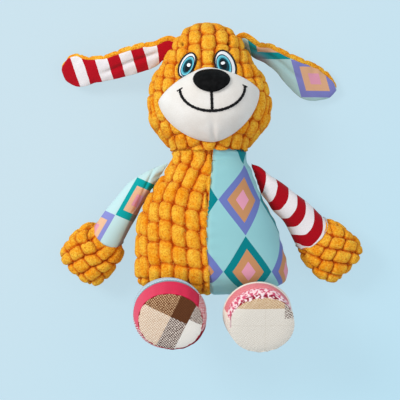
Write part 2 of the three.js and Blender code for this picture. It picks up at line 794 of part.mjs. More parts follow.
// One layer of an ear: rings at the root and at each station, beside the ear's middle surface.
function earLayer(root, group, shares, wall, face) {
  const ends = earRootEnds(root);
  const start = group.position;
  const stations = shares.map(([along, across, height, half, twist]) => ({
    at: start.clone().add(new THREE.Vector3(root.side * along, across, height).multiplyScalar(earLength)),
    half: half * earLength,
    across: new THREE.Vector3(0, Math.cos(twist * degrees), Math.sin(twist * degrees)),
    squeeze: 1,
  }));
  stations.unshift({
    at: start,
    half: ends.top.distanceTo(ends.low) / 2,
    across: new THREE.Vector3().subVectors(ends.top, ends.low).normalize(),
    squeeze: earRootSqueeze,
  });
  const rings = stations.map((station, i) => {
    const before = stations[Math.max(i - 1, 0)].at;
    const after = stations[Math.min(i + 1, stations.length - 1)].at;
    const tangent = i === 0 ? ends.out.clone() : new THREE.Vector3().subVectors(after, before).normalize();
    const across = station.across.addScaledVector(tangent, -station.across.dot(tangent)).normalize();
    const normal = new THREE.Vector3().crossVectors(tangent, across).multiplyScalar(root.side);
    const half = (wall / 2) * station.squeeze;
    const centre = station.at.clone().addScaledVector(normal, face * (half + earLayerGap / 2));
    return oval(centre, across, normal, station.half, half, earSquareness, earSides);
  });
  return loft(rings.map((ring) => ring.map((point) => group.worldToLocal(point))));
}

function earPieces(name, root, shares, liningColour) {
  const group = earGroup(root);
  group.add(
    piece(name + "_ear_lining", earLayer(root, group, shares, liningWall, 1), liningColour),
    piece(name + "_ear_back", earLayer(root, group, shares, earBackWall, -1), colours.plush),
  );
  return group;
}

// Arms

// The torso's outline at a height, on one side.
function torsoEdge(side, y) {
  const at = torsoAt(y);
  return new THREE.Vector3(at.x + side * at.width, y, seamHeight);
}

// An arm lies in a group whose X runs along the arm and whose Z is its thickness.
function armGroup(arm) {
  const top = torsoEdge(arm.side, torsoBottomY + shoulderTopShare * torsoHeight);
  const low = torsoEdge(arm.side, torsoBottomY + arm.armpitShare * torsoHeight);
  const out = new THREE.Vector3(arm.side * (top.y - low.y), -arm.side * (top.x - low.x), 0).normalize();
  top.addScaledVector(out, seamGap);
  low.addScaledVector(out, seamGap);
  const group = new THREE.Group();
  group.position.copy(top).add(low).divideScalar(2);
  group.rotation.set(0, armDroop * degrees, arm.heading * degrees, "ZYX");
  group.updateMatrixWorld(true);
  return { group, seamTop: group.worldToLocal(top), seamLow: group.worldToLocal(low) };
}

// A ring between an outer and an inner edge of the arm, set in from both.
function edgeRing(outer, inner, halfThickness, inset, shift = 0) {
  const across = new THREE.Vector3(outer.x - inner.x, outer.y - inner.y, 0);
  const half = across.length() / 2 - inset;
  const centre = new THREE.Vector3((outer.x + inner.x) / 2 + shift, (outer.y + inner.y) / 2, 0);
  const deep = Math.max(halfThickness - inset, clearance);
  return oval(centre, across.normalize(), unit.z, half, deep, armSquareness, limbSides);
}

function sleeveRings(arm, seamTop, seamLow, inset) {
  const rings = arm.shares.map(([outAlong, out, inAlong, inner, thickness]) =>
    edgeRing(
      new THREE.Vector2(outAlong, arm.side * out).multiplyScalar(arm.length),
      new THREE.Vector2(inAlong, arm.side * inner).multiplyScalar(arm.length),
      thickness * armThickness,
      inset,
    ),
  );
  if (inset === 0) rings.unshift(edgeRing(seamTop, seamLow, hemHalf, 0));
  return rings;
}

function pawRings(arm, inset) {
  const [outAlong, out, inAlong, inner] = arm.shares.at(-1);
  const wristX = ((outAlong + inAlong) / 2) * arm.length;
  const wristY = ((out + inner) / 2) * arm.side * arm.length;
  return pawShares.map(([along, width, thickness]) => {
    const centre = new THREE.Vector3(wristX + along * (pawLength - inset), wristY, 0);
    const half = (width * pawWidth) / 2 - inset;
    const deep = (thickness * pawThickness) / 2 - inset;
    return oval(centre, unit.y, unit.z, half * arm.side, deep, pawSquareness, limbSides);
  });
}

function wristRing(arm, inset, shift) {
  const [outAlong, out, inAlong, inner, thickness] = arm.shares.at(-1);
  return edgeRing(
    new THREE.Vector2(outAlong, arm.side * out).multiplyScalar(arm.length),
    new THREE.Vector2(inAlong, arm.side * inner).multiplyScalar(arm.length),
    thickness * armThickness,
    inset,
    shift,
  );
}

function armPieces(arm) {
  const { group, seamTop, seamLow } = armGroup(arm);
  const sleeveSkin = loft(sleeveRings(arm, seamTop, seamLow, 0));
  const roomRings = sleeveRings(arm, seamTop, seamLow, panelWall);
  const sleeveRoom = loft([...roomRings, wristRing(arm, panelWall, overrun)]);
  const pawSkin = loft([wristRing(arm, 0, clearance), ...pawRings(arm, 0)]);
  const pawRoom = loft([wristRing(arm, panelWall, -overrun), ...pawRings(arm, panelWall)]);
  const packed = panelWall + clearance;
  const filling = loft([...sleeveRings(arm, seamTop, seamLow, packed), ...pawRings(arm, packed)]);
  group.add(
    piece(arm.name + "_sleeve", sleeveSkin.subtract(sleeveRoom), arm.colour),
    piece(arm.name + "_paw", pawSkin.subtract(pawRoom), colours.plush),
    piece(arm.name + "_arm_filling", filling, colours.fibre),
  );
  return group;
}

// Legs

function legGroup(leg) {
  const edgeAt = (x) => {
    let [low, high] = [torsoBottomY, torsoBottomY + torsoSideCap];
    for (let i = 0; i < 30; i++) {
      const y = (low + high) / 2;
      const at = torsoAt(y);
      if (Math.abs(x - at.x) < at.width) high = y;
      else low = y;
    }
    return new THREE.Vector3(x, high, seamHeight);
  };
  const hipX = leg.hipShare * torsoWidth;
  const inner = edgeAt(hipX - hipHalfWidth);
  const outer = edgeAt(hipX + hipHalfWidth);
  const sideways = new THREE.Vector3().subVectors(outer, inner).normalize();
  const down = new THREE.Vector3(sideways.y, -sideways.x, 0);
  const lean = leg.lean * degrees;
  const along = down.clone().multiplyScalar(Math.sin(lean)).addScaledVector(unit.z, Math.cos(lean));
  const up = new THREE.Vector3().crossVectors(along, sideways);
  const group = new THREE.Group();
  group.position.copy(inner).add(outer).divideScalar(2).addScaledVector(down, hipGap);
  group.quaternion.setFromRotationMatrix(new THREE.Matrix4().makeBasis(along, sideways, up));
  return group;
}

function legRings(inset) {
  const half = bootWidth / 2;
  return legShares.map(([along, upper, lower, width]) => {
    const centre = new THREE.Vector3(along * legLength, 0, ((upper - lower) / 2) * half);
    const deep = ((upper + lower) / 2) * half - inset;
    return oval(centre, unit.y, unit.z, width * half - inset, deep, bootSquareness, limbSides);
  });
}

function legPieces(leg) {
  const group = legGroup(leg);
  const root = oval(new THREE.Vector3(), unit.y, unit.z, hipHalfWidth, hemHalf, bootSquareness, limbSides);
  const shifted = (rings, by) => rings.at(-1).map((p) => p.clone().add(new THREE.Vector3(by, 0, 0)));
  const skin = loft([root, ...legRings(0)]);
  const room = legRings(panelWall);
  const packed = legRings(panelWall + clearance);
  const cover = skin.subtract(loft([...room, shifted(room, overrun)]));
  const soleLevels = [0, soleWall - soleCrown, soleWall - soleCrown / 2, soleWall];
  const soleRings = soleShares.map((share, i) => {
    const radius = (share * bootWidth) / 2;
    const centre = new THREE.Vector3(legLength + clearance + soleLevels[i], 0, 0);
    return oval(centre, unit.y, unit.z, radius, radius, bootSquareness, limbSides);
  });
  group.add(
    piece(leg.name + "_leg_cover", cover, colours.boot),
    piece(leg.name + "_sole", loft(soleRings), leg.soleColour),
    piece(leg.name + "_leg_filling", loft(packed), colours.fibre),
  );
  return group;
}

const arms = [
  {
    name: "right",
    side: -1,
    length: rightArmLength,
    heading: rightArmHeading,
    armpitShare: rightArmpitShare,
    shares: rightSleeveShares,
    colour: colours.print,
  },
  {
    name: "left",
    side: 1,
    length: leftArmLength,
    heading: leftArmHeading,
    armpitShare: leftArmpitShare,
    shares: leftSleeveShares,
    colour: colours.stripe,
  },
];
const legs = [
  { name: "right", hipShare: rightHipShare, lean: rightLegLean, soleColour: colours.check },
  { name: "left", hipShare: leftHipShare, lean: leftLegLean, soleColour: colours.cream },
];

const toy = new THREE.Group();
toy.add(...torsoPieces(), ...squeakerPieces(), ...headPieces(), ...facePieces());
toy.add(earPieces("right", rightEarRoot, stripedEarShares, colours.stripe));
toy.add(earPieces("left", leftEarRoot, argyleEarShares, colours.print));
for (const arm of arms) toy.add(armPieces(arm));
for (const leg of legs) toy.add(legPieces(leg));

export default toy;
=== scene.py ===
"""A stuffed patchwork dog that squeaks, lying on its back, seen from straight above."""

import math

import bmesh
import bpy
import numpy as np
from mathutils import Matrix, Vector


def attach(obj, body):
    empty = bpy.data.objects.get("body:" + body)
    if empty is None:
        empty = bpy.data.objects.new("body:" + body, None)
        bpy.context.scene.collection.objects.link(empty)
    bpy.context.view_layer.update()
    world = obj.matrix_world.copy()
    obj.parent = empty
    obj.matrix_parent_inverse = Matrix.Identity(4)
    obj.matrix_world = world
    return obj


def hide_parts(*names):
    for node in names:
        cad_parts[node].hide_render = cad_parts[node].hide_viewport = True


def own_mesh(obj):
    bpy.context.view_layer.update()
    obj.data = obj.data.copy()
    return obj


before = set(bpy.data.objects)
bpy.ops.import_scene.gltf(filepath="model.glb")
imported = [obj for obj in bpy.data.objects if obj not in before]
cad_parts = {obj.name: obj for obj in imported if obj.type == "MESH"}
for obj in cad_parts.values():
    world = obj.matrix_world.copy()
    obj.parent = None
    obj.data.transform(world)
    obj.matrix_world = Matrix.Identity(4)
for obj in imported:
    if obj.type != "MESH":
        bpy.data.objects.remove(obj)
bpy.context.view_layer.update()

# The camera looks straight down on the toy from 1.5 m above its side seams, as a product
# picture of a toy laid on a table is taken. Its field takes in 380 mm at the seams.
seam_z = 44.0
camera_height = 1500.0
field_width = 380.0
lens = bpy.data.cameras.new("camera")
lens.sensor_fit = "HORIZONTAL"
lens.angle = 2 * math.atan(field_width / 2 / camera_height)
lens.clip_end = 20
camera = bpy.data.objects.new("camera", lens)
camera.location = (-0.01045, 0.04375, (seam_z + camera_height) / 1000)
bpy.context.collection.objects.link(camera)
bpy.context.scene.camera = camera
bpy.context.scene.view_settings.view_transform = "Standard"

# Studio light: a wide soft box on the toy's upper left, a weaker one at its right, and an
# even pale room that fills the shadows.
room = bpy.data.worlds.new("room")
room.use_nodes = True
room.node_tree.nodes["Background"].inputs["Color"].default_value = (0.93, 0.965, 1.0, 1)
room.node_tree.nodes["Background"].inputs["Strength"].default_value = 0.6
bpy.context.scene.world = room


def soft_box(name, place, power, size, tint):
    """A square lamp that faces the toy's middle."""
    lamp = bpy.data.lights.new(name, "AREA")
    lamp.energy = power
    lamp.size = size
    lamp.color = tint
    stand = bpy.data.objects.new(name, lamp)
    stand.location = place
    aim = Vector((0, 0.03, 0.05)) - Vector(place)
    stand.rotation_euler = aim.to_track_quat("-Z", "Y").to_euler()
    bpy.context.collection.objects.link(stand)


soft_box("key_box", (-2.1, 1.2, 2.4), 68.0, 1.1, (1.0, 0.985, 0.96))
soft_box("fill_box", (1.8, 0.3, 2.4), 12.0, 2.2, (0.97, 0.985, 1.0))

# The table is a plain pale blue board, a little bluer towards its lower right. Most of
# what the camera sees of it is an even glow, so the toy's shadow on it stays faint.
board_half, camera_glow = 3, 0.84
board = bmesh.new()
bmesh.ops.create_grid(board, x_segments=1, y_segments=1, size=board_half)
board_mesh = bpy.data.meshes.new("board")
board.to_mesh(board_mesh)
board.free()
floor = bpy.data.objects.new("board", board_mesh)
floor.location = (0, 0, -0.0002)
bpy.context.collection.objects.link(floor)


def linear(red, green, blue):
    """A colour as light, from its 0 to 255 values on a screen."""
    shares = (red / 255, green / 255, blue / 255)
    return tuple(c / 12.92 if c <= 0.04045 else ((c + 0.055) / 1.055) ** 2.4 for c in shares)


class Finish:
    """A material and short words for wiring its nodes. Colours are given as on a screen."""

    def __init__(self, name, colour, roughness, sheen=0.0, sheen_tint=(1, 1, 1)):
        self.material = bpy.data.materials.new(name)
        self.material.use_nodes = True
        self.tree = self.material.node_tree
        self.shader = self.tree.nodes["Principled BSDF"]
        self.shader.inputs["Base Color"].default_value = (*linear(*colour), 1)
        self.shader.inputs["Roughness"].default_value = roughness
        self.shader.inputs["Specular IOR Level"].default_value = 0.09
        self.shader.inputs["Sheen Weight"].default_value = sheen
        self.shader.inputs["Sheen Roughness"].default_value = 0.45
        self.shader.inputs["Sheen Tint"].default_value = (*sheen_tint, 1)
        coordinates = self.tree.nodes.new("ShaderNodeTexCoord")
        self.uv = coordinates.outputs["UV"]
        self.place = coordinates.outputs["Object"]

    def feed(self, socket, value):
        if isinstance(value, bpy.types.NodeSocket):
            self.tree.links.new(value, socket)
        elif isinstance(value, tuple) and len(value) == 3 and socket.type == "RGBA":
            socket.default_value = (*linear(*value), 1)
        else:
            socket.default_value = value

    def sum(self, operation, a, b=0.0, c=None):
        node = self.tree.nodes.new("ShaderNodeMath")
        node.operation = operation
        self.feed(node.inputs[0], a)
        self.feed(node.inputs[1], b)
        if c is not None:
            self.feed(node.inputs[2], c)
        return node.outputs[0]

    def times(self, a, b):
        return self.sum("MULTIPLY", a, b)

    def plus(self, a, b):
        return self.sum("ADD", a, b)

    def minus(self, a, b):
        return self.sum("SUBTRACT", a, b)

    def times_plus(self, a, b, c):
        return self.sum("MULTIPLY_ADD", a, b, c)

    def under(self, value, edge):
        return self.sum("LESS_THAN", value, edge)

    def over(self, value, edge):
        return self.sum("GREATER_THAN", value, edge)

    def wave(self, angle):
        return self.sum("SINE", angle)

    def size(self, value):
        return self.sum("ABSOLUTE", value)

    def split(self, vector):
        node = self.tree.nodes.new("ShaderNodeSeparateXYZ")
        self.feed(node.inputs[0], vector)
        return node.outputs[0], node.outputs[1], node.outputs[2]

    def noise(self, size, detail=2.0, vector=None, roughness=0.5):
        """Grain of about that size in metres."""
        node = self.tree.nodes.new("ShaderNodeTexNoise")
        self.feed(node.inputs["Vector"], vector or self.place)
        node.inputs["Scale"].default_value = 1 / size
        node.inputs["Detail"].default_value = detail
        node.inputs["Roughness"].default_value = roughness
        return node.outputs["Fac"]

    def between(self, value, low, high, low_to=0.0, high_to=1.0):
        node = self.tree.nodes.new("ShaderNodeMapRange")
        for socket, number in zip(node.inputs, (value, low, high, low_to, high_to)):
            self.feed(socket, number)
        return node.outputs[0]

    def mix(self, share, first, second, way="MIX"):
        node = self.tree.nodes.new("ShaderNodeMix")
        node.data_type = "RGBA"
        node.blend_type = way
        self.feed(node.inputs["Factor"], share)
        self.feed(node.inputs[6], first)
        self.feed(node.inputs[7], second)
        return node.outputs[2]

    def attribute(self, name):
        node = self.tree.nodes.new("ShaderNodeAttribute")
        node.attribute_name = name
        return node.outputs["Fac"]

    def colour(self, value):
        self.feed(self.shader.inputs["Base Color"], value)

    def bump(self, height, depth, strength=1.0):
        """Relief from a height of 0 to 1, as deep as that many metres."""
        node = self.tree.nodes.new("ShaderNodeBump")
        node.inputs["Strength"].default_value = strength
        node.inputs["Distance"].default_value = depth
        self.feed(node.inputs["Height"], height)
        self.tree.links.new(node.outputs[0], self.shader.inputs["Normal"])


board_finish = Finish("pale_blue_board", (203, 225, 236), 0.9)
right, up, _ = board_finish.split(board_finish.place)
lower_right = board_finish.between(board_finish.minus(right, up), -0.25, 0.33)
pale_blue = board_finish.mix(lower_right, (203, 226, 237), (190, 226, 242))
board_finish.colour(pale_blue)
glow = board_finish.tree.nodes.new("ShaderNodeEmission")
board_finish.feed(glow.inputs["Color"], pale_blue)
rays = board_finish.tree.nodes.new("ShaderNodeLightPath")
board_mix = board_finish.tree.nodes.new("ShaderNodeMixShader")
seen = board_finish.times(rays.outputs["Is Camera Ray"], camera_glow)
board_finish.feed(board_mix.inputs[0], seen)
board_finish.feed(board_mix.inputs[1], board_finish.shader.outputs[0])
board_finish.feed(board_mix.inputs[2], glow.outputs[0])
board_surface = board_finish.tree.nodes["Material Output"].inputs["Surface"]
board_finish.feed(board_surface, board_mix.outputs[0])
floor.data.materials.append(board_finish.material)

# The squeaker lies in the belly's filling: a blow-moulded base, bellows and top plate with
# a harder reed pressed into the base. They are milky thermoplastic with a faint grain.
milky, pale_grey = (243, 240, 230), (236, 236, 236)
for part, roughness, tone in (
    ("squeaker_base", 0.42, milky),
    ("squeaker_bellows", 0.5, milky),
    ("squeaker_top", 0.42, milky),
    ("squeaker_reed", 0.3, pale_grey),
):
    plastic = Finish(part + "_plastic", tone, roughness)
    plastic.bump(plastic.noise(0.0008, 3.0), 0.00005, 0.4)
    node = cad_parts[part]
    node.data.materials.clear()
    node.data.materials.append(plastic.material)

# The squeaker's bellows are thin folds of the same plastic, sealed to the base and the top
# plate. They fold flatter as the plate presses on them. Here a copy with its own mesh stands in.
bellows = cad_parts["squeaker_bellows"]
folds = bellows.copy()
folds.data = bellows.data.copy()
folds.name = "squeaker_folds"
bpy.context.collection.objects.link(folds)
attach(folds, "torso")
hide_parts("squeaker_bellows")
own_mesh(folds)

# The torso is a stuffed bag of three panels. Its front is corncob plush on one half and a
# printed velour on the other, sewn together down the middle, and its back is plush. The
# skin closes over the neck in a dome that the head turns on.
neck_y = 90.0
torso_height, torso_width, torso_depth = 136.0, 145.0, 89.0
torso_low = neck_y - torso_height
foot_round = 26.0  # how far up its rounded bottom reaches
# Height, centre, width and depth, as shares of the torso's.
bell_shares = [
    (0, 0.002, 0.99, 0.97),
    (0.2, 0.002, 1, 1),
    (0.38, -0.017, 0.95, 1),
    (0.485, -0.026, 0.915, 0.997),
    (0.56, -0.034, 0.862, 0.965),
    (0.63, -0.039, 0.8, 0.91),
    (0.7, -0.038, 0.73, 0.835),
    (0.79, -0.026, 0.638, 0.77),
    (0.88, -0.013, 0.555, 0.705),
    (0.94, -0.012, 0.517, 0.675),
    (1, -0.016, 0.497, 0.66),
]
# Height and place across, as shares.
middle_seam = [
    (0, -0.008),
    (0.11, -0.012),
    (0.27, -0.028),
    (0.49, -0.031),
    (0.66, -0.017),
    (0.83, -0.003),
    (1, 0.012),
]
neck_half_width, neck_radius = 33.5, 29.0
back_slope = 13.5  # degrees from the table at which the back rises to the neck


def row_at(table, share):
    """The columns of a table at shares of its first column, smooth between its rows."""
    rows = np.array(table, float)
    steps = rows[:, :1]
    slopes = np.empty_like(rows)
    slopes[1:-1] = (rows[2:] - rows[:-2]) / (steps[2:] - steps[:-2])
    slopes[0] = (rows[1] - rows[0]) / (steps[1] - steps[0])
    slopes[-1] = (rows[-1] - rows[-2]) / (steps[-1] - steps[-2])
    share = np.asarray(share, float)
    i = np.clip(np.searchsorted(rows[:, 0], share, side="right") - 1, 0, len(rows) - 2)
    span = (steps[i + 1] - steps[i])[..., 0]
    t = np.clip((share - steps[i][..., 0]) / span, 0, 1)[..., None]
    span = span[..., None]
    value = rows[i] * (1 + 2 * t) * (1 - t) ** 2 + slopes[i] * span * t * (1 - t) ** 2
    value += rows[i + 1] * t * t * (3 - 2 * t) + slopes[i + 1] * span * t * t * (t - 1)
    return np.moveaxis(value, -1, 0)


def opening(distance, cap, squareness):
    """How far a form has opened at a distance from its closed end, from 0 to 1."""
    left = np.clip(1 - distance / cap, 0, 1)
    return (1 - left**squareness) ** (1 / squareness)


def torso_at(y):
    """Centre, half width and half depth of the torso's sewn outline at a height."""
    _, centre, width, depth = row_at(bell_shares, (y - torso_low) / torso_height)
    up = np.maximum(y - torso_low, 0)
    wide = width * torso_width / 2 * opening(up, 22, 2.8)
    deep = depth * torso_depth / 2 * opening(up, foot_round, 2)
    return centre * torso_width, wide, deep


def even_ring(wide, deep, squareness, around):
    """A superellipse in equal steps along its edge, from its back round by -X, and its length."""
    angle = np.linspace(0, 2 * math.pi, 1441)
    across = -np.sin(angle)
    through = -np.cos(angle)
    x = wide * np.sign(across) * np.abs(across) ** (2 / squareness)
    z = deep * np.sign(through) * np.abs(through) ** (2 / squareness)
    length = np.concatenate([[0], np.cumsum(np.hypot(np.diff(x), np.diff(z)))])
    at = np.linspace(0, length[-1], around + 1)[:-1]
    return np.interp(at, length, x), np.interp(at, length, z), length[-1]


def skin_rings(heights, centres, widths, depths, squareness, around):
    """Rings of a skin up the toy, and their UV map in millimetres round and up."""
    grid = np.zeros((len(heights), around, 3))
    uv = np.zeros((len(heights), around + 1, 2))
    steps = np.arange(around + 1) / around - 0.5
    for r, y in enumerate(heights):
        x, z, length = even_ring(max(widths[r], 0.01), max(depths[r], 0.01), squareness, around)
        grid[r] = np.stack([x + centres[r], np.full_like(x, y), z + seam_z], axis=1)
        uv[r, :, 0] = steps * length
        uv[r, :, 1] = y
    return grid, uv


def facing(grid):
    """Outward directions over a closed grid of rings."""
    around = np.roll(grid, -1, 1) - np.roll(grid, 1, 1)
    along = np.gradient(grid, axis=0)
    normal = np.cross(around, along)
    size = np.linalg.norm(normal, axis=2, keepdims=True)
    normal = normal / np.maximum(size, 1e-9)
    middle = grid.mean(axis=1, keepdims=True)
    half = len(grid) // 2
    turned = np.sum(normal[half] * (grid[half] - middle[half]), axis=1).mean()
    normal *= np.sign(turned)
    normal[0] = normal[1].mean(axis=0) / np.linalg.norm(normal[1].mean(axis=0))
    normal[-1] = normal[-2].mean(axis=0) / np.linalg.norm(normal[-2].mean(axis=0))
    return normal


def cob(u, v, pillow, seed):
    """Height from 0 to 1 of corncob plush: round-cornered pillows in staggered columns.
    The first two are the place along the cloth, and pillow is one pillow's width and length."""
    wide, tall = pillow
    u = u + 0.5 * np.sin(v / 7.1 + seed) + 0.35 * np.sin(v / 3.3 + 2 * seed)
    column = np.floor(u / wide)
    v = v + 2.4 * np.sin(2.4 * column + seed) + 0.9 * np.sin(v / 9.0 + 1.7 * column)
    v = v + 0.4 * np.sin(u / 2.9 + 3 * seed)
    row = np.floor(v / tall)
    rough = np.sin(12.9 * column + 78.2 * row + seed) * 43758.5
    rough = rough - np.floor(rough)
    corner = (0.29 + 0.06 * rough) * wide
    side_gap = wide / 2 - np.abs(u - (column + 0.5) * wide)
    end_gap = tall / 2 - np.abs(v - (row + 0.5) * tall)
    past_side, past_end = corner - side_gap, corner - end_gap
    inside = corner - np.hypot(np.maximum(past_side, 0), np.maximum(past_end, 0))
    inside += np.maximum(-np.maximum(past_side, past_end), 0)
    barrel = np.sqrt(1 - (1 - np.clip(side_gap / (0.5 * wide), 0, 1)) ** 2)
    pinch = np.sqrt(1 - (1 - np.clip(inside / (0.38 * wide), 0, 1)) ** 2)
    return np.maximum(pinch * (0.62 + 0.38 * barrel), 0.22 * barrel) * (0.88 + 0.12 * rough)


def sewn(name, cloth, grid, uv, attributes=None, slots=None):
    """A closed piece of cloth from a grid of rings in millimetres, with its poles at the ends.
    The UV map has one more column than the grid. Slots gives each grid point's material."""
    along, around = grid.shape[0] - 1, grid.shape[1]
    shell = bmesh.new()
    bmesh.ops.create_uvsphere(shell, u_segments=around, v_segments=along, radius=1)
    shell.verts.ensure_lookup_table()
    ball = np.array([v.co[:] for v in shell.verts])
    ring = np.rint(np.arccos(np.clip(ball[:, 2], -1, 1)) / math.pi * along).astype(int)
    turn = np.rint(np.arctan2(ball[:, 1], ball[:, 0]) / (2 * math.pi) * around).astype(int) % around
    places = grid[ring, turn] / 1000
    for vert, place in zip(shell.verts, places):
        vert.co = place
    layer = shell.loops.layers.uv.new("UVMap")
    for face in shell.faces:
        turns = [turn[v.index] for v in face.verts]
        rings = [ring[v.index] for v in face.verts]
        ends = [r in (0, along) for r in rings]
        body = [t for t, end in zip(turns, ends) if not end]
        wraps = max(body) - min(body) > around / 2
        fixed = [t + around if wraps and t < around / 2 else t for t in turns]
        open_turns = [t for t, end in zip(fixed, ends) if not end]
        for loop, r, t, end in zip(face.loops, rings, fixed, ends):
            loop[layer].uv = uv[r, min(open_turns) if end else t]
        if slots is not None:
            row = max(rings[0] - 1, 0) if ends[0] else rings[0]
            face.material_index = int(slots[row, min(open_turns) % around])
        face.smooth = True
    bmesh.ops.recalc_face_normals(shell, faces=shell.faces)
    mesh = bpy.data.meshes.new(name)
    shell.to_mesh(mesh)
    shell.free()
    mesh.materials.append(cloth)
    for word, values in (attributes or {}).items():
        store = mesh.attributes.new(word, "FLOAT", "POINT")
        store.data.foreach_set("value", values[ring, turn].astype(np.float32))
    piece = bpy.data.objects.new(name, mesh)
    bpy.context.collection.objects.link(piece)
    return piece


def near(distance, reach):
    """1 at no distance, and a smooth fall to nothing beyond that reach."""
    return np.exp(-((distance / reach) ** 2))


def smooth_step(value, low, high):
    """0 up to the low value, 1 from the high one on."""
    t = np.clip((value - low) / (high - low), 0, 1)
    return t * t * (3 - 2 * t)


def lay_on_table(grid):
    """Flattens what would sink into the table."""
    grid[:, :, 2] = np.maximum(grid[:, :, 2], 0.0)


torso_around = 380
torso_pillow = 13.8, 18.4
plush_sink, pillow_rise = 4.0, 5.4  # the grooves' depth in the sewn outline, the pillows' height
print_sink = 0.3
flat_side = 1.8  # how much less the back's plush bulges beside the print
neck_crease = 1.7  # how deep the neck's seam pulls the cloth in
crown_turns = np.linspace(90, 0, 26)[:-1]
crown_y = neck_y + neck_radius * np.sin(np.radians(crown_turns))
side_y = np.linspace(neck_y, torso_low + foot_round, 112)
foot_turns = np.linspace(0, 90, 40)[1:]
foot_y = torso_low + foot_round - foot_round * np.sin(np.radians(foot_turns))
torso_y = np.concatenate([crown_y, side_y, foot_y])
centres, widths, depths = torso_at(np.minimum(torso_y, neck_y))
dome_share = np.sqrt(np.clip(1 - ((torso_y - neck_y) / neck_radius) ** 2, 0, 1))
above = torso_y >= neck_y
roof = np.maximum(neck_y - torso_y, 0) / math.tan(math.radians(back_slope))
dome = neck_radius * dome_share
shoulders = np.maximum(np.minimum(depths, roof), np.minimum(dome, depths))
depths = np.where(above, dome, shoulders)
widths = np.where(above, neck_half_width * dome_share, widths)
torso_grid, torso_uv = skin_rings(torso_y, centres, widths, depths, 2.3, torso_around)
first_foot = len(crown_y) + len(side_y) - 1
for r in range(first_foot + 1, len(torso_y)):
    down = np.linalg.norm(torso_grid[r] - torso_grid[r - 1], axis=1)
    torso_uv[r, :-1, 1] = torso_uv[r - 1, :-1, 1] - down
    torso_uv[r, -1, 1] = torso_uv[r, 0, 1]
u = torso_uv[:, :-1, 0]
v = torso_uv[:, :-1, 1]
in_front = torso_grid[:, :, 2] >= seam_z
seam_x = row_at(middle_seam, (torso_y - torso_low) / torso_height)[1][:, None] * torso_width
beside = torso_grid[:, :, 0] - seam_x
printed = in_front & (beside > 0)
lean = np.interp(v, [-60, 8, 33, 47, 52, 63, 69, 86, 120], [0, 0, 2.9, 6, 7, 11.3, 13.5, 19.2, 24])
tilt = np.interp(v, [-60, -20, 17, 36, 60, 120], [0.04, 0.1, 0.19, 0.24, 0.27, 0.27])
pillows = cob(np.abs(u) + lean - 8.2, v - tilt * (np.abs(u) - 12) + 0.9, torso_pillow, 0.7)
neck_fade = smooth_step(neck_y - torso_grid[:, :, 1], -1, 5)
edge = np.abs(beside)
from_flank = torso_grid[:, :, 2] - seam_z
seam_pull = near(edge, 2.2) * in_front
flank_pull = near(from_flank, 2.4) * smooth_step(widths[:, None], 10, 40)
puckers = 0.35 * np.sin(v / 1.7) * near(edge, 9) * in_front
puckers += 0.4 * np.sin(v / 1.9 + 1) * near(from_flank, 11)
plush_height = -plush_sink + pillow_rise * pillows * neck_fade - 1.0 * seam_pull - 0.8 * flank_pull
plush_height -= flat_side * (beside > 0) * near(from_flank, 15)
print_height = -print_sink - 2.6 * seam_pull - 2.0 * flank_pull + puckers * neck_fade
height = np.where(printed, print_height, plush_height) * neck_fade
height -= neck_crease * near(torso_grid[:, :, 1] - neck_y + 8, 5.5) * neck_fade
torso_grid = torso_grid + facing(torso_grid) * height[:, :, None]
lay_on_table(torso_grid)


def corncob_plush(name, main, deep, light):
    """Short cut pile: bright on the pillows, with specks where it parts. Painted shade darkens it
    into its grooves, creases and dimples, after the piece's own groove and dimple values, and
    painted glints fleck its tufts."""
    finish = Finish(name, main, 0.95, 0.05, (1, 0.8, 0.45))
    grain = finish.noise(0.0009, 3.0)
    broad = finish.noise(0.014, 2.0)
    # Painted shade: the pile darkens into the grooves between pillows, and to a deep red in the
    # creases.
    groove_shade = finish.between(finish.attribute("groove_shade"), 0.36, 0.86)
    crease = finish.between(finish.attribute("groove_shade"), 0.74, 0.98)
    tone = finish.mix(finish.between(broad, 0.35, 0.65), main, light)
    tone = finish.mix(groove_shade, tone, deep)
    tone = finish.mix(crease, tone, (140, 42, 2))
    tuft = finish.noise(0.0019, 2.0)
    tone = finish.mix(finish.between(tuft, 0.34, 0.48, 0.45, 0.0), tone, deep)
    # Painted glints: bright yellow flecks on some tufts of the pile.
    tone = finish.mix(finish.between(tuft, 0.55, 0.7, 0.0, 0.5), tone, (255, 210, 92))
    # Painted shade: a near-black brown in the dimples that the brow stitches pull in.
    tone = finish.mix(finish.attribute("dimple_shade"), tone, (62, 22, 8))
    specks = finish.between(finish.noise(0.0013, 1.0), 0.62, 0.68)
    tone = finish.mix(finish.times(specks, 0.6), tone, deep)
    finish.colour(finish.mix(finish.between(grain, 0.34, 0.5, 0.5, 0.0), tone, deep))
    finish.bump(finish.times_plus(tuft, 1.2, grain), 0.0011, 0.9)
    return finish.material


# The burnt orange is both the pile's own deeper tone and the painted shade in its grooves.
orange, burnt_and_groove_shade, golden = (250, 162, 24), (216, 94, 2), (255, 200, 62)
orange_plush = corncob_plush("orange_corncob_plush", orange, burnt_and_groove_shade, golden)
belly_dyes = (148, 202, 207), (108, 121, 186), (0, 127, 135), (198, 142, 98)
# The sleeve's dyes are the belly print's made lighter: painted light for the brighter light on the
# sleeve.
lit_sleeve_dyes = (194, 226, 228), (138, 142, 208), (4, 162, 165), (234, 186, 150)
ear_dyes = (172, 204, 204), (128, 130, 196), (0, 140, 146), (224, 172, 134)


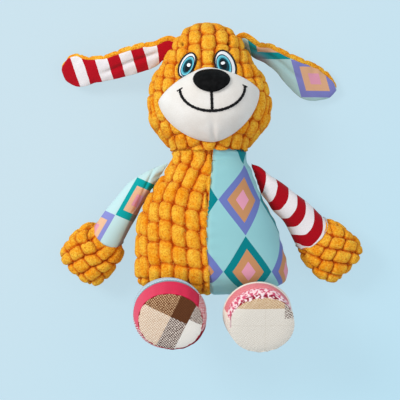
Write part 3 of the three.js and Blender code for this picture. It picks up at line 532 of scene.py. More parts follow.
def argyle_print(name, centre, wide, tall, parity=0.0, dyes=belly_dyes):
    """Printed velour: nested diamonds whose tips touch, violet and teal by turns, on pale teal.
    The UV map is in millimetres. Centre, wide and tall are one diamond's middle and diagonals
    on it. The dyes are the ground's, the two bands' and the ring's inside them. Where a piece
    has a flank value, painted shade darkens the print there to a mauve grey."""
    pale, violet, teal, tan = dyes
    finish = Finish(name, pale, 0.85, 0.12)
    across, up, _ = finish.split(finish.uv)
    across = finish.minus(across, centre[0])
    up = finish.minus(up, centre[1])
    area = wide[0] * tall[1] - wide[1] * tall[0]
    column = finish.times_plus(across, tall[1] / area, finish.times(up, -tall[0] / area))
    row = finish.times_plus(across, -wide[1] / area, finish.times(up, wide[0] / area))
    near_column = finish.sum("ROUND", column)
    near_row = finish.sum("ROUND", row)
    out = finish.sum(
        "ADD",
        finish.size(finish.minus(column, near_column)),
        finish.size(finish.minus(row, near_row)),
    )
    turn = finish.plus(finish.plus(near_column, near_row), parity)
    odd = finish.over(finish.sum("PINGPONG", turn, 1.0), 0.5)
    band = finish.mix(odd, violet, teal)
    tone = finish.mix(finish.under(out, 0.495), pale, band)
    tone = finish.mix(finish.under(out, 0.32), tone, tan)
    tone = finish.mix(finish.under(out, 0.145), tone, (226, 155, 178))
    # Painted shade: a mauve grey over the print where a piece folds in or turns away from the
    # light.
    tone = finish.mix(finish.attribute("flank_shade"), tone, (128, 96, 106))
    nap = finish.noise(0.0007, 2.0)
    shade = finish.between(finish.noise(0.02, 2.0), 0.3, 0.7, 0.0, 0.12)
    tone = finish.mix(shade, tone, (0.75, 0.78, 0.8, 1), "MULTIPLY")
    worn = finish.between(nap, 0.3, 0.7, 0.0, 0.1)
    finish.colour(finish.mix(worn, tone, (0.5, 0.5, 0.5, 1), "SOFT_LIGHT"))
    finish.bump(nap, 0.0003, 0.35)
    return finish.material


belly_velour = argyle_print("argyle_velour_belly", (35.9, 44), (47.5, -0.4), (1.5, 66.8))
torso = sewn(
    "torso_skin",
    orange_plush,
    torso_grid,
    torso_uv,
    # The groove values place the plush's painted shade between its pillows.
    {"groove_shade": np.where(printed, 0.0, 1 - pillows)},
    np.where(printed, 1, 0),
)
torso.data.materials.append(belly_velour)
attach(torso, "torso")
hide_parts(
    "torso_front_plush",
    "torso_front_print",
    "torso_back",
    "torso_filling_front",
    "torso_filling_back",
)

# The head is a stuffed pear of the same corncob plush, gathered in at the chin where it is
# sewn to the neck. Its underside is hollow over the neck's dome.
head_height, head_width, head_depth = 122.0, 118.5, 89.0
head_squareness, crown_round = 2.2, 15.0
socket_gap = 0.8  # between the head's hollow and the neck's dome
# Height, centre, width and depth, as shares of the head's.
head_shares = [
    (0, -0.016, 0.61, 0.708),
    (0.05, -0.018, 0.672, 0.775),
    (0.1, -0.018, 0.77, 0.843),
    (0.165, -0.016, 0.884, 0.921),
    (0.25, -0.012, 0.967, 0.989),
    (0.34, -0.01, 0.999, 1),
    (0.43, -0.014, 0.976, 1),
    (0.525, -0.019, 0.934, 0.978),
    (0.585, -0.021, 0.872, 0.944),
    (0.64, -0.023, 0.79, 0.899),
    (0.72, -0.025, 0.69, 0.82),
    (0.8, -0.022, 0.6, 0.73),
    (0.89, -0.022, 0.497, 0.6),
    (0.95, -0.028, 0.4, 0.48),
    (1, -0.034, 0.3, 0.36),
]


def head_at(y):
    """Centre, half width and half depth of the head's sewn outline at a height."""
    _, centre, width, depth = row_at(head_shares, (y - neck_y) / head_height)
    wide_open = opening(np.maximum(neck_y + head_height - y, 0), crown_round, head_squareness)
    wide, deep = width * head_width / 2 * wide_open, depth * head_depth / 2 * wide_open
    return centre * head_width, wide, deep


def head_front(x, y):
    """Height of the head's sewn outline above the table, at a place seen from the front."""
    centre, wide, deep = head_at(y)
    out = np.clip(np.abs((x - centre) / wide), 0, 1)
    return seam_z + deep * (1 - out**head_squareness) ** (1 / head_squareness)


def super_radius(half, power):
    """The radius of a superellipse at an angle."""
    return lambda turn: (
        np.abs(np.cos(turn) / half[0]) ** power + np.abs(np.sin(turn) / half[1]) ** power
    ) ** (-1 / power)


def muzzle_outline(turn):
    """The muzzle's radius at an angle: a low point over the nose and a deep one at the chin."""
    brow = super_radius((47.4, 26.5), 1.4)(turn)
    chin = super_radius((47.4, 42.8), 1.68)(turn)
    return np.where(np.sin(turn) > 0, brow, chin)


def share_of(x, y, centre, tilt, outline):
    """0 at a face piece's middle, 1 on its outline."""
    across, up = x - centre[0], y - centre[1]
    return np.hypot(across, up) / outline(np.arctan2(up, across) - tilt)


def muzzle_share(x, y):
    """0 at the muzzle's middle, 1 on its edge."""
    return share_of(x, y, muzzle_centre, muzzle_tilt, muzzle_outline)


muzzle_centre, muzzle_tilt = (-2.25, 140.1), math.radians(6.6)
eyes = {
    "right": ((-22.4, 168.8), math.radians(-25), (7.6, 13.2)),
    "left": ((13.1, 168.7), math.radians(19), (10.0, 15.2)),
}
thread_dimples = (-27.6, 190.0), (17.6, 191.3)  # a stitch over each eye pulls the plush in
head_around = 340
head_pillow = 13.7, 14.6
groove_sink, lump_rise = 3.4, 4.7
rim_hang = 1.3  # how far the pillows at the rim hang over the neck
crown_turns = np.linspace(0, 90, 30)
rim_y = neck_y + 0.3
head_y = neck_y + head_height - crown_round * (1 - np.cos(np.radians(crown_turns)))
head_y = np.concatenate([head_y, np.linspace(head_y[-1], rim_y, 118)[1:]])
hollow_turns = np.linspace(0, 90, 24)[1:]
hollow = neck_radius + socket_gap
head_y = np.concatenate([head_y, rim_y + hollow * np.sin(np.radians(hollow_turns))])
rim = len(head_y) - len(hollow_turns)
centres, widths, depths = head_at(head_y)
inner = np.cos(np.radians(hollow_turns))
widths[rim:] = (neck_half_width + socket_gap) * inner
depths[rim:] = hollow * inner
centres[rim:] = centres[rim - 1]
head_grid, head_uv = skin_rings(head_y, centres, widths, depths, head_squareness, head_around)
u = head_uv[:, :-1, 0]
v = head_uv[:, :-1, 1]
gather = np.interp(v, [60, 90, 105, 120, 135, 220], [16, 15, 11, 5, 0, 0])
gather_rate = np.interp(v, [80, 95, 110, 125, 140, 220], [0.3, 0.45, 0.38, 0.3, 0, 0])
fanned = v + gather_rate * np.abs(u) * 0.8 + 2.6
pillows = cob(np.abs(u) + gather + 6.85, fanned, head_pillow, 1.9)
x, y = head_grid[:, :, 0], head_grid[:, :, 1]
in_front = head_grid[:, :, 2] > seam_z
under_muzzle = np.where(in_front, 1 - smooth_step(muzzle_share(x, y), 0.965, 1.04), 0)
under_eyes = np.zeros_like(x)
for centre, tilt, half in eyes.values():
    share = share_of(x, y, centre, tilt, super_radius(half, 2))
    under_eyes = np.maximum(under_eyes, np.where(in_front, 1 - smooth_step(share, 0.92, 1.2), 0))
dimples = np.zeros_like(x)
for place in thread_dimples:
    dimples += near(np.hypot(x - place[0], y - place[1]), 1.9) * in_front
flank_pull = near(head_grid[:, :, 2] - seam_z, 2.2) * smooth_step(widths[:, None], 8, 30)
rim_fade = np.ones(len(head_y))
rim_fade[rim:] = 0
rim_fade = rim_fade[:, None] * smooth_step(head_grid[:, :, 1] - neck_y, -2, 3)
height = -groove_sink + lump_rise * pillows * (1 - under_eyes * 0.5) * (1 - under_muzzle)
height += -0.7 * flank_pull - 3.0 * dimples - 0.6 * under_muzzle + 0.2 * under_eyes
height[rim:] = 0
head_grid = head_grid + facing(head_grid) * (height * rim_fade)[:, :, None]
hang = rim_hang * pillows * near(y - neck_y, 5)
hang[rim - 1 :] = 0
head_grid[:, :, 1] -= hang
lay_on_table(head_grid)
# The groove and dimple values place painted shade in the head's plush.
pile_shade_masks = {"groove_shade": 1 - pillows, "dimple_shade": dimples**2}
head = sewn("head_skin", orange_plush, head_grid, head_uv, pile_shade_masks)
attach(head, "head")
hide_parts("head_front", "head_back", "head_filling")

# The muzzle is one panel of short white fleece, sewn into the plush round its edge and
# gathered to a small pucker under the chin.
pile_edge, muzzle_rise = 1.6, 15.0
muzzle_around, muzzle_along = 200, 70


def muzzle_front(x, y):
    """Height of the muzzle's dome above the table, or of the head beside it."""
    share = np.clip(muzzle_share(x, y), 0, 1)
    dome = pile_edge + muzzle_rise * (1 - share**2.4) ** 0.5
    return head_front(x, y) + np.where(muzzle_share(x, y) < 1, dome, 0)


def patch_grid(centre, tilt, outline, ground, edge, rise, around, along, under=3.0, tuck=0.97):
    """A domed patch on a ground: rings from its top out to its edge, and back beneath it.
    Its edge stands that high over the ground, and its middle as much higher as the rise."""
    turn = np.arange(around) / around * 2 * math.pi
    reach = outline(turn)
    grid, uv = [], []
    tops = [(share, True) for share in np.sin(np.linspace(0, math.pi / 2, along))]
    for share, on_top in tops + [(tuck, False), (0.8, False), (0.4, False), (0.0, False)]:
        across, up = reach * share * np.cos(turn), reach * share * np.sin(turn)
        x = centre[0] + across * math.cos(tilt) - up * math.sin(tilt)
        y = centre[1] + across * math.sin(tilt) + up * math.cos(tilt)
        lift = edge + rise * max(1 - share**2.4, 0) ** 0.5 if on_top else -under
        grid.append(np.stack([x, y, ground(x, y) + lift], axis=1))
        uv.append(np.stack([across, up], axis=1))
    grid, uv = np.array(grid), np.array(uv)
    return grid, np.concatenate([uv, uv[:, :1]], axis=1)


muzzle_place = muzzle_centre, muzzle_tilt, muzzle_outline, head_front
muzzle_form = pile_edge - 1.2, muzzle_rise, muzzle_around, muzzle_along, 3.4, 0.985
muzzle_grid, muzzle_uv = patch_grid(*muzzle_place, *muzzle_form)
across, up = muzzle_uv[:, :-1, 0], muzzle_uv[:, :-1, 1]
crease = near(across - 0.5, 2.0 + 0.08 * np.abs(up + 42)) * smooth_step(-up, 10, 41)
muzzle_top = muzzle_grid[:muzzle_along]
muzzle_top[:, :, 2] -= (1.9 * crease)[:muzzle_along]
for at, size in ((6.5, 1.1), (-6.0, 0.9), (13.0, 0.6), (-13.5, 0.5)):
    spread = at * (0.45 + 0.55 * smooth_step(up, -43, -8))
    fold = near(across - spread, 2.4) * smooth_step(-up, 22, 39)
    muzzle_top[:, :, 2] += (size * fold)[:muzzle_along]
fleece = Finish("white_fleece", (232, 228, 223), 0.95, 0.25)
fuzz = fleece.noise(0.0008, 3.0)
cloudy = fleece.between(fleece.noise(0.018, 2.0), 0.35, 0.65)
tone = fleece.mix(cloudy, (238, 234, 229), (231, 225, 218))
fleece.colour(fleece.mix(fleece.between(fuzz, 0.3, 0.6, 0.25, 0.0), tone, (205, 197, 188)))
fleece.bump(fuzz, 0.0004, 0.5)
muzzle = sewn("muzzle_fleece", fleece.material, muzzle_grid, muzzle_uv)
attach(muzzle, "head")
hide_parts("muzzle")

# The nose is an oval of black satin, drawn to a point at its foot and sewn to the muzzle.
nose_centre = (0.0, 153.6)
nose_half = (17.1, 11.0)
nose_edge, nose_rise = 0.6, 3.6


def nose_outline(turn):
    """The nose's radius at an angle: an oval, drawn out a little at its foot."""
    uneven = 1 + 0.032 * np.sin(3 * turn) + 0.012 * np.sin(5 * turn + 1)
    return super_radius(nose_half, 2)(turn) * uneven


nose_grid, nose_uv = patch_grid(
    nose_centre, 0.0, nose_outline, muzzle_front, nose_edge, nose_rise, 120, 30
)
satin = Finish("black_satin", (20, 20, 21), 0.7)
across, up, _ = satin.split(satin.uv)
slant = satin.plus(across, satin.times(up, 0.25))
threads = satin.wave(satin.times(slant, 9.0))
worn = satin.noise(0.004, 3.0)
satin.colour(satin.mix(satin.between(worn, 0.4, 0.75), (6, 6, 7), (22, 22, 23)))
satin.bump(satin.times_plus(threads, 0.4, worn), 0.0003, 0.5)
nose = sewn("nose_satin", satin.material, nose_grid, nose_uv)
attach(nose, "head")
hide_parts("nose")

# Each eye is an embroidered badge: black outline, white, an iris in rings, a dark pupil and
# a white spark. The muzzle's edge laps over the bottom of both.
badge_edge, badge_rise, badge_under = 0.3, 1.7, 2.6


def eye_thread(name, half, iris, iris_half, pupil, spark, spark_half):
    """Satin stitch in rings. The places are in millimetres from the eye's middle."""
    outline_wide, outline_tall = 1.7, 1.6
    finish = Finish(name, (236, 238, 240), 0.55, 0.08)
    across, up, _ = finish.split(finish.uv)

    def ring(centre, size):
        dx = finish.times(finish.minus(across, centre[0]), 1 / size[0])
        dy = finish.times(finish.minus(up, centre[1]), 1 / size[1])
        squares = finish.plus(finish.times(dx, dx), finish.times(dy, dy))
        return finish.sum("SQRT", squares)

    tone = (240, 241, 243)
    from_iris = ring(iris, iris_half)
    rings = (
        (1.0, (26, 44, 78)),
        (0.9, (118, 204, 218)),
        (0.78, (72, 166, 188)),
        (0.66, (12, 62, 74)),
    )
    for edge, dye in rings:
        tone = finish.mix(finish.under(from_iris, edge), tone, dye)
    from_pupil = ring(pupil, (iris_half[0] * 0.42, iris_half[1] * 0.45))
    tone = finish.mix(finish.under(from_pupil, 1.0), tone, (14, 26, 32))
    tone = finish.mix(finish.under(ring(spark, spark_half), 1.0), tone, (246, 248, 250))
    inside = finish.under(ring((0, 0), (half[0] - outline_wide, half[1] - outline_tall)), 1.0)
    finish.colour(finish.mix(inside, (30, 28, 34), tone))
    threads = finish.wave(finish.times(up, 11.0))
    finish.bump(finish.times_plus(threads, 0.5, finish.noise(0.0008)), 0.00025, 0.5)
    return finish.material


for side, iris, iris_half, pupil, spark, spark_half in (
    ("right", (0.8, -0.8), (5.4, 10.4), (1.7, -1.6), (1.45, 0.5), (1.7, 1.8)),
    ("left", (-1.35, 0.0), (6.9, 11.0), (-1.6, 1.0), (-1.6, 2.4), (2.0, 1.4)),
):
    centre, tilt, half = eyes[side]
    oval = super_radius(half, 2)
    eye_grid, eye_uv = patch_grid(
        centre, tilt, oval, head_front, badge_edge, badge_rise, 96, 24, badge_under
    )
    stitches = eye_thread(side + "_eye_thread", half, iris, iris_half, pupil, spark, spark_half)
    eye = sewn(side + "_eye_badge", stitches, eye_grid, eye_uv)
    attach(eye, "head")
    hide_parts(side + "_eye")

# The mouth is four runs of black satin stitch on the muzzle: a ridge under the nose, a wide
# smile and a short bar across each of its ends.
smile_middle, smile_tilt = (0.9, 146.9), math.radians(3.4)
smile_half, smile_drop = 29.9, 21.7
smile_thick, ridge_thick, end_thick = 2.7, 2.6, 1.3


def face_point(centre, across, up):
    """A place that far across and up from a centre, in the smile's own directions."""
    return (
        centre[0] + across * math.cos(smile_tilt) - up * math.sin(smile_tilt),
        centre[1] + across * math.sin(smile_tilt) + up * math.cos(smile_tilt),
    )


def stitch_run(name, line, thick):
    """A raised run of satin stitch along a line on the muzzle."""
    fine = []
    for (x0, y0), (x1, y1) in zip(line, line[1:]):
        for t in np.linspace(0, 1, 4)[:-1]:
            fine.append((x0 + (x1 - x0) * t, y0 + (y1 - y0) * t))
    fine.append(line[-1])
    curve = bpy.data.curves.new(name, "CURVE")
    curve.dimensions = "3D"
    curve.bevel_depth = thick / 2000
    curve.bevel_resolution = 3
    curve.use_fill_caps = True
    run = curve.splines.new("POLY")
    run.points.add(len(fine) - 1)
    for i, (x, y) in enumerate(fine):
        z = float(muzzle_front(np.array(x), np.array(y))) - 1.2 + 0.12 * math.sin(i * 2.1)
        run.points[i].co = (x / 1000, y / 1000, z / 1000, 1)
        run.points[i].radius = 1 + 0.14 * math.sin(i * 2.3) + 0.08 * math.sin(i * 5.1)
    string = bpy.data.objects.new(name, curve)
    bpy.context.collection.objects.link(string)
    mesh = bpy.data.meshes.new_from_object(string)
    bpy.data.objects.remove(string)
    piece = bpy.data.objects.new(name, mesh)
    bpy.context.collection.objects.link(piece)
    for face in mesh.polygons:
        face.use_smooth = True
    piece.data.materials.append(thread.material)
    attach(piece, "head")
    return piece


thread = Finish("black_thread", (22, 22, 24), 0.6)
thread.bump(thread.noise(0.0006, 2.0), 0.0002, 0.6)
smile = []
for i in range(31):
    turn = math.pi * i / 30
    across, up = -smile_half * math.cos(turn), -smile_drop * math.sin(turn)
    smile.append(face_point(smile_middle, across, up))
nose_foot = np.array([nose_centre[0], nose_centre[1] - nose_half[1] - 0.2])
ridge_foot = (np.array(smile[14]) + np.array(smile[15])) / 2
ridge = [tuple(nose_foot + (ridge_foot - nose_foot) * t) for t in np.linspace(0, 1, 9)]
smile_run = stitch_run("smile_stitching", smile, smile_thick)
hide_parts("mouth_stitching")
stitch_run("ridge_stitching", ridge, ridge_thick)
for name, corner, turn, reach in (("right", smile[0], 1, 2.6), ("left", smile[-1], -1, 2.1)):
    ends = [face_point(corner, end * reach, end * turn * 0.5 * reach) for end in (-1, 0, 1)]
    stitch_run(name + "_smile_end", ends, end_thick)

# Each ear is a flat bag of two layers: a printed velour lining that faces up, and a corncob
# plush back whose lumpy edge curls round it. It hangs from a short seam on the head.
ear_length = 110.0
# Places outwards, up the toy and above the table and half widths, all as shares of the
# length, and the lining's lean in degrees.
striped_ear = [
    (0.08, -0.012, -0.02, 0.088, 31),
    (0.17, -0.047, -0.055, 0.117, 34),
    (0.355, -0.1, -0.11, 0.122, 34),
    (0.525, -0.147, -0.164, 0.109, 30),
    (0.682, -0.165, -0.218, 0.114, 25),
    (0.755, -0.172, -0.243, 0.132, 22),
    (0.82, -0.162, -0.264, 0.14, 20),
    (0.905, -0.147, -0.28, 0.1, 20),
    (0.945, -0.14, -0.286, 0.055, 20),
]
argyle_ear = [
    (0.11, -0.072, -0.03, 0.08, 50),
    (0.213, -0.102, -0.11, 0.088, 42),
    (0.342, -0.177, -0.164, 0.1, 32),
    (0.471, -0.268, -0.218, 0.136, 24),
    (0.597, -0.341, -0.273, 0.158, 18),
    (0.72, -0.372, -0.313, 0.118, 15),
    (0.79, -0.378, -0.335, 0.075, 15),
    (0.82, -0.38, -0.345, 0.035, 15),
]
first_red, last_red = 40.0, 142.2  # the end stripes run on into the head and round the tip
ear_tuck = 4.5  # how deep the ear's root is pushed into the head's plush
lining_thick, back_thick = 2.6, 4.6
lining_around, back_around = 152, 180
edge_pillow = 11.5, 15.5


def head_side(side, y, z):
    """The place on the head's flank at a height up the toy and above the table."""
    centre, wide, deep = (float(value) for value in head_at(np.array(y)))
    out = min(abs((z - seam_z) / deep), 1)
    reach = wide * (1 - out**head_squareness) ** (1 / head_squareness)
    return np.array([centre + side * reach, y, z])


def seam_ends(side, top, low, gap):
    """A seam's two ends moved off what it is sewn to, and the direction that they moved in."""
    run = top - low
    out = np.array([side * run[1], -side * run[0], 0]) / math.hypot(run[0], run[1])
    return top + out * gap, low + out * gap, out


def ear_line(side, high, high_rise, low, low_rise, gap, stations):
    """Points down the middle of an ear with its half width and the two directions across it."""
    top = head_side(side, neck_y + high * head_height, seam_z + high_rise)
    foot = head_side(side, neck_y + low * head_height, seam_z + low_rise)
    top, foot, out = seam_ends(side, top, foot, gap)
    start = (top + foot) / 2
    at = [start - out * (gap + ear_tuck), start]
    at += [start + np.array([side * a, c, h]) * ear_length for a, c, h, _, _ in stations]
    root_half = np.linalg.norm(top - foot) / 2
    half = [root_half * 0.85, root_half] + [row[3] * ear_length for row in stations]
    across = [(top - foot) / (2 * root_half)] * 2
    for row in stations:
        lean = math.radians(row[4])
        across.append(np.array([0, math.cos(lean), math.sin(lean)]))
    far = np.concatenate([[0], np.cumsum([np.linalg.norm(b - a) for a, b in zip(at, at[1:])])])
    table = [(s, *p, h, *c) for s, p, h, c in zip(far, at, half, across)]
    reach = np.concatenate([np.linspace(0, far[-2], 84), np.linspace(far[-2], far[-1], 16)[1:]])
    rows = row_at(table, reach).T
    points, halves, ways = rows[:, 1:4], np.maximum(rows[:, 4], 0.3), rows[:, 5:8]
    tangent = np.gradient(points, axis=0)
    tangent /= np.linalg.norm(tangent, axis=1, keepdims=True)
    ways = ways - tangent * np.sum(ways * tangent, axis=1, keepdims=True)
    ways /= np.linalg.norm(ways, axis=1, keepdims=True)
    through = np.cross(tangent, ways) * side
    return reach, points, halves, ways, through


def ear_layer(line, width_change, shift, thick, lift, around, swell):
    """One closed layer of an ear. Shift moves it across, lift moves it through the ear, and
    swell rounds its two faces."""
    reach, points, halves, ways, through = line
    half = np.maximum(halves + width_change, 0.4)
    close = np.sqrt(np.clip(1 - ((reach - reach[-1] + 6) / 6.001).clip(0, 1) ** 2, 0, 1))
    squeeze = np.interp(reach, [0, 6, 20], [0.4, 0.45, 1.0])
    grid = np.zeros((len(reach) + 2, around, 3))
    flat = np.zeros((len(reach) + 2, around + 1, 2))
    for r in range(len(reach)):
        deep = max(thick / 2 * squeeze[r] * max(close[r], 0.15), 0.15)
        x, z, _ = even_ring(max(half[r] * max(close[r], 0.05), 0.3), deep, 2.6, around)
        bulge = swell * (1 - (x / max(half[r], 1)) ** 2).clip(0, 1) * squeeze[r]
        offset = np.sign(z) * bulge + z + lift[r]
        grid[r + 1] = points[r] + np.outer(x + shift[r], ways[r]) + np.outer(offset, through[r])
        flat[r + 1, :-1, 0] = x + shift[r]
        flat[r + 1, :-1, 1] = reach[r]
    grid[0] = grid[1].mean(axis=0)
    grid[-1] = grid[-2].mean(axis=0)
    flat[0, :, 1] = 0
    flat[-1, :, 1] = reach[-1]
    flat[:, -1] = flat[:, 0]
    return grid, flat


def seen_from_above(grid):
    """A UV map that is the piece as seen from above, in millimetres."""
    return np.concatenate([grid[:, :, :2], grid[:, :1, :2]], axis=1)


def striped_velour(name, period, start, dark, bright):
    """Velour printed in red and white bands along the second UV, which is in millimetres."""
    finish = Finish(name, (232, 226, 228), 0.85, 0.12)
    _, along, _ = finish.split(finish.uv)
    at = finish.plus(along, finish.between(finish.noise(0.012, 1.0), 0.2, 0.8, -0.5, 0.5))
    at = finish.sum("FRACT", finish.times(finish.minus(at, start), 1 / period))
    red = finish.under(at, 0.5)
    nap = finish.noise(0.0007, 2.0)
    white = finish.mix(finish.between(nap, 0.3, 0.7), (226, 219, 221), (240, 236, 238))
    dye = finish.mix(finish.between(nap, 0.3, 0.7), dark, bright)
    finish.colour(finish.mix(red, white, dye))
    finish.bump(nap, 0.0003, 0.35)
    return finish.material


for side, word, root, stations, rim in (
    (-1, "right", (0.865, 7, 0.705, -4, 1.1), striped_ear, (2.4, 1.6, 0.7, 0.3, -0.4)),
    (1, "left", (0.885, 9, 0.8, -9, 3.1), argyle_ear, (3.2, 2.0, 1.5, 1.4, 2.2)),
):
    line = ear_line(side, *root, stations)
    reach = line[0]
    peek = np.interp(reach, [6, 26, 50, 76, 104], rim)
    zero = np.zeros(len(reach))
    lift = zero + 1.5
    grid, flat = ear_layer(
        line, -peek / 2 - 0.6, -peek / 2, lining_thick, lift, lining_around, 0.9
    )
    x = flat[:, :-1, 0]
    t = flat[:, :-1, 1]
    fold = -2.1 * near(x + 1.5 - 2.5 * np.sin(t / 21), 2.6)
    fold = fold * smooth_step(t, 10, 22) * (1 - smooth_step(t, 62, 84))
    fold += 0.35 * np.sin(t / 2.6 + x / 3) * near(np.abs(x) - 12, 5)
    up_side = facing(grid)
    grid = grid + up_side * (fold * (up_side[:, :, 2] > 0.1))[:, :, None]
    flat = seen_from_above(grid)
    if side < 0:
        away = -flat[:, :, 0]
        middle = np.interp(away, -line[1][:, 0], line[1][:, 1])
        fan_at = [43, 52, 62, 85, 107, 119, 131]
        fan = np.interp(away, fan_at, [-0.05, 0.2, 0.25, 0.26, 0.31, 0.31, 0.38])
        flat[:, :, 1] = np.clip(away - fan * (flat[:, :, 1] - middle), first_red, last_red)
        shade_marks = {}
        dark, bright = (166, 8, 26), (190, 14, 34)
        cloth = striped_velour("striped_velour_ear", 23.1, 62.1, dark, bright)
    else:
        # Painted shade: the argyle lining darkens in the hollow of its fold near the root.
        beyond, above = grid[:, :, 0] - 47, grid[:, :, 1] - 177.5
        from_fold = np.hypot(0.5 * beyond - 0.35 * above, above + 0.55 * beyond)
        shade_marks = {"flank_shade": 0.8 * near(from_fold, 6)}
        centre, wide, tall = (100.4, 160.8), (25.6, 35.3), (47.9, -35.3)
        cloth = argyle_print("argyle_velour_ear", centre, wide, tall, 0.0, ear_dyes)
    lining = sewn(word + "_ear_velour", cloth, grid, flat, shade_marks)
    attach(lining, word + "_ear")
    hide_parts(word + "_ear_lining")
    grid, flat = ear_layer(line, zero + 0.1, zero + 0.9, back_thick, zero - 1.7, back_around, 0.8)
    x = flat[:, :-1, 0]
    t = flat[:, :-1, 1]
    outward = facing(grid)
    through = line[4]
    face_up = np.concatenate([through[:1], through, through[-1:]])[:, None, :]
    under = smooth_step(-np.sum(outward * face_up, axis=2), -0.55, 0.1)
    pillows = cob(x + 60, t + 40, edge_pillow, 2.3)
    height = (2.6 * pillows - 1.5) * under * smooth_step(t, 5, 16)
    height[0] = height[-1] = 0
    grid = grid + outward * height[:, :, None]
    lay_on_table(grid)
    # Painted shade in the grooves of the ear's plush back comes from these values.
    groove_shade = (1 - pillows) * under
    back = sewn(word + "_ear_plush", orange_plush, grid, flat, {"groove_shade": groove_shade})
    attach(back, word + "_ear")
    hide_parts(word + "_ear_back")

# Each arm is a printed sleeve, sewn flat to the torso's side and stuffed towards the wrist,
# and a round paw of corncob plush sewn into its end.
# How far along and out the outer edge lies, then the inner edge, as shares of the length,
# and half the thickness as a share of the arm's thickness.
right_sleeve = [
    (-0.053, 0.098, 0.223, -0.029, 0.17),
    (0.105, 0.178, 0.296, -0.05, 0.28),
    (0.29, 0.225, 0.408, -0.074, 0.36),
    (0.526, 0.238, 0.566, -0.114, 0.4),
    (0.763, 0.238, 0.763, -0.135, 0.43),
    (1.013, 0.222, 0.993, -0.205, 0.5),
]
left_sleeve = [
    (-0.07, 0.142, 0.25, -0.102, 0.17),
    (0.085, 0.152, 0.32, -0.113, 0.28),
    (0.305, 0.197, 0.43, -0.135, 0.36),
    (0.555, 0.214, 0.61, -0.156, 0.4),
    (0.79, 0.236, 0.8, -0.196, 0.43),
    (1.005, 0.253, 0.985, -0.27, 0.5),
]
# Place along, width and thickness, as shares of the paw's.
paw_shares = [
    (0.0, 0.62, 0.62),
    (0.07, 0.77, 0.8),
    (0.2, 0.91, 0.93),
    (0.4, 0.98, 1),
    (0.6, 1, 1),
    (0.78, 0.97, 0.93),
    (0.9, 0.85, 0.78),
    (0.97, 0.62, 0.52),
    (1.0, 0.0, 0.0),
]
paw_length, paw_width, paw_thick, arm_thick = 51.0, 51.0, 42.0, 29.0
paw_pillow = 13.6, 17.0
sleeve_around, paw_around = 152, 192
shoulder_gap = 1.0  # between the shoulder's seam and the torso's side
wrist_lead = 8.0  # how far the top of the wrist seam stands towards the paw


def torso_side(side, y):
    """The place on the torso's side seam at a height up the toy."""
    centre, wide, _ = (float(value) for value in torso_at(np.array(y)))
    return np.array([centre + side * wide, y, seam_z])


def tube(rows, around, squareness):
    """Rings from rows of centre, half across, half through, and the direction across, which
    all lie in one local plane. Also their UV map, in millimetres round and along."""
    grid = np.zeros((len(rows) + 2, around, 3))
    uv = np.zeros((len(rows) + 2, around + 1, 2))
    far = 0.0
    for r, (centre, half, deep, way) in enumerate(rows):
        x, z, length = even_ring(max(half, 0.3), max(deep, 0.3), squareness, around)
        grid[r + 1] = centre + np.outer(x, way) + np.outer(z, (0, 0, 1))
        if r:
            far += np.linalg.norm(centre - rows[r - 1][0])
        uv[r + 1, :, 0] = (np.arange(around + 1) / around - 0.5) * length
        uv[r + 1, :, 1] = far
    grid[0] = grid[1].mean(axis=0)
    grid[-1] = grid[-2].mean(axis=0)
    uv[-1, :, 1] = far
    return grid, uv


def crown_of(grid):
    """Over rings about the local x axis: 0 at their sides and below, 1 on top."""
    top = grid[:, :, 2].max(axis=1, keepdims=True)
    return np.clip(grid[:, :, 2], 0, None) / np.maximum(top, 0.1)


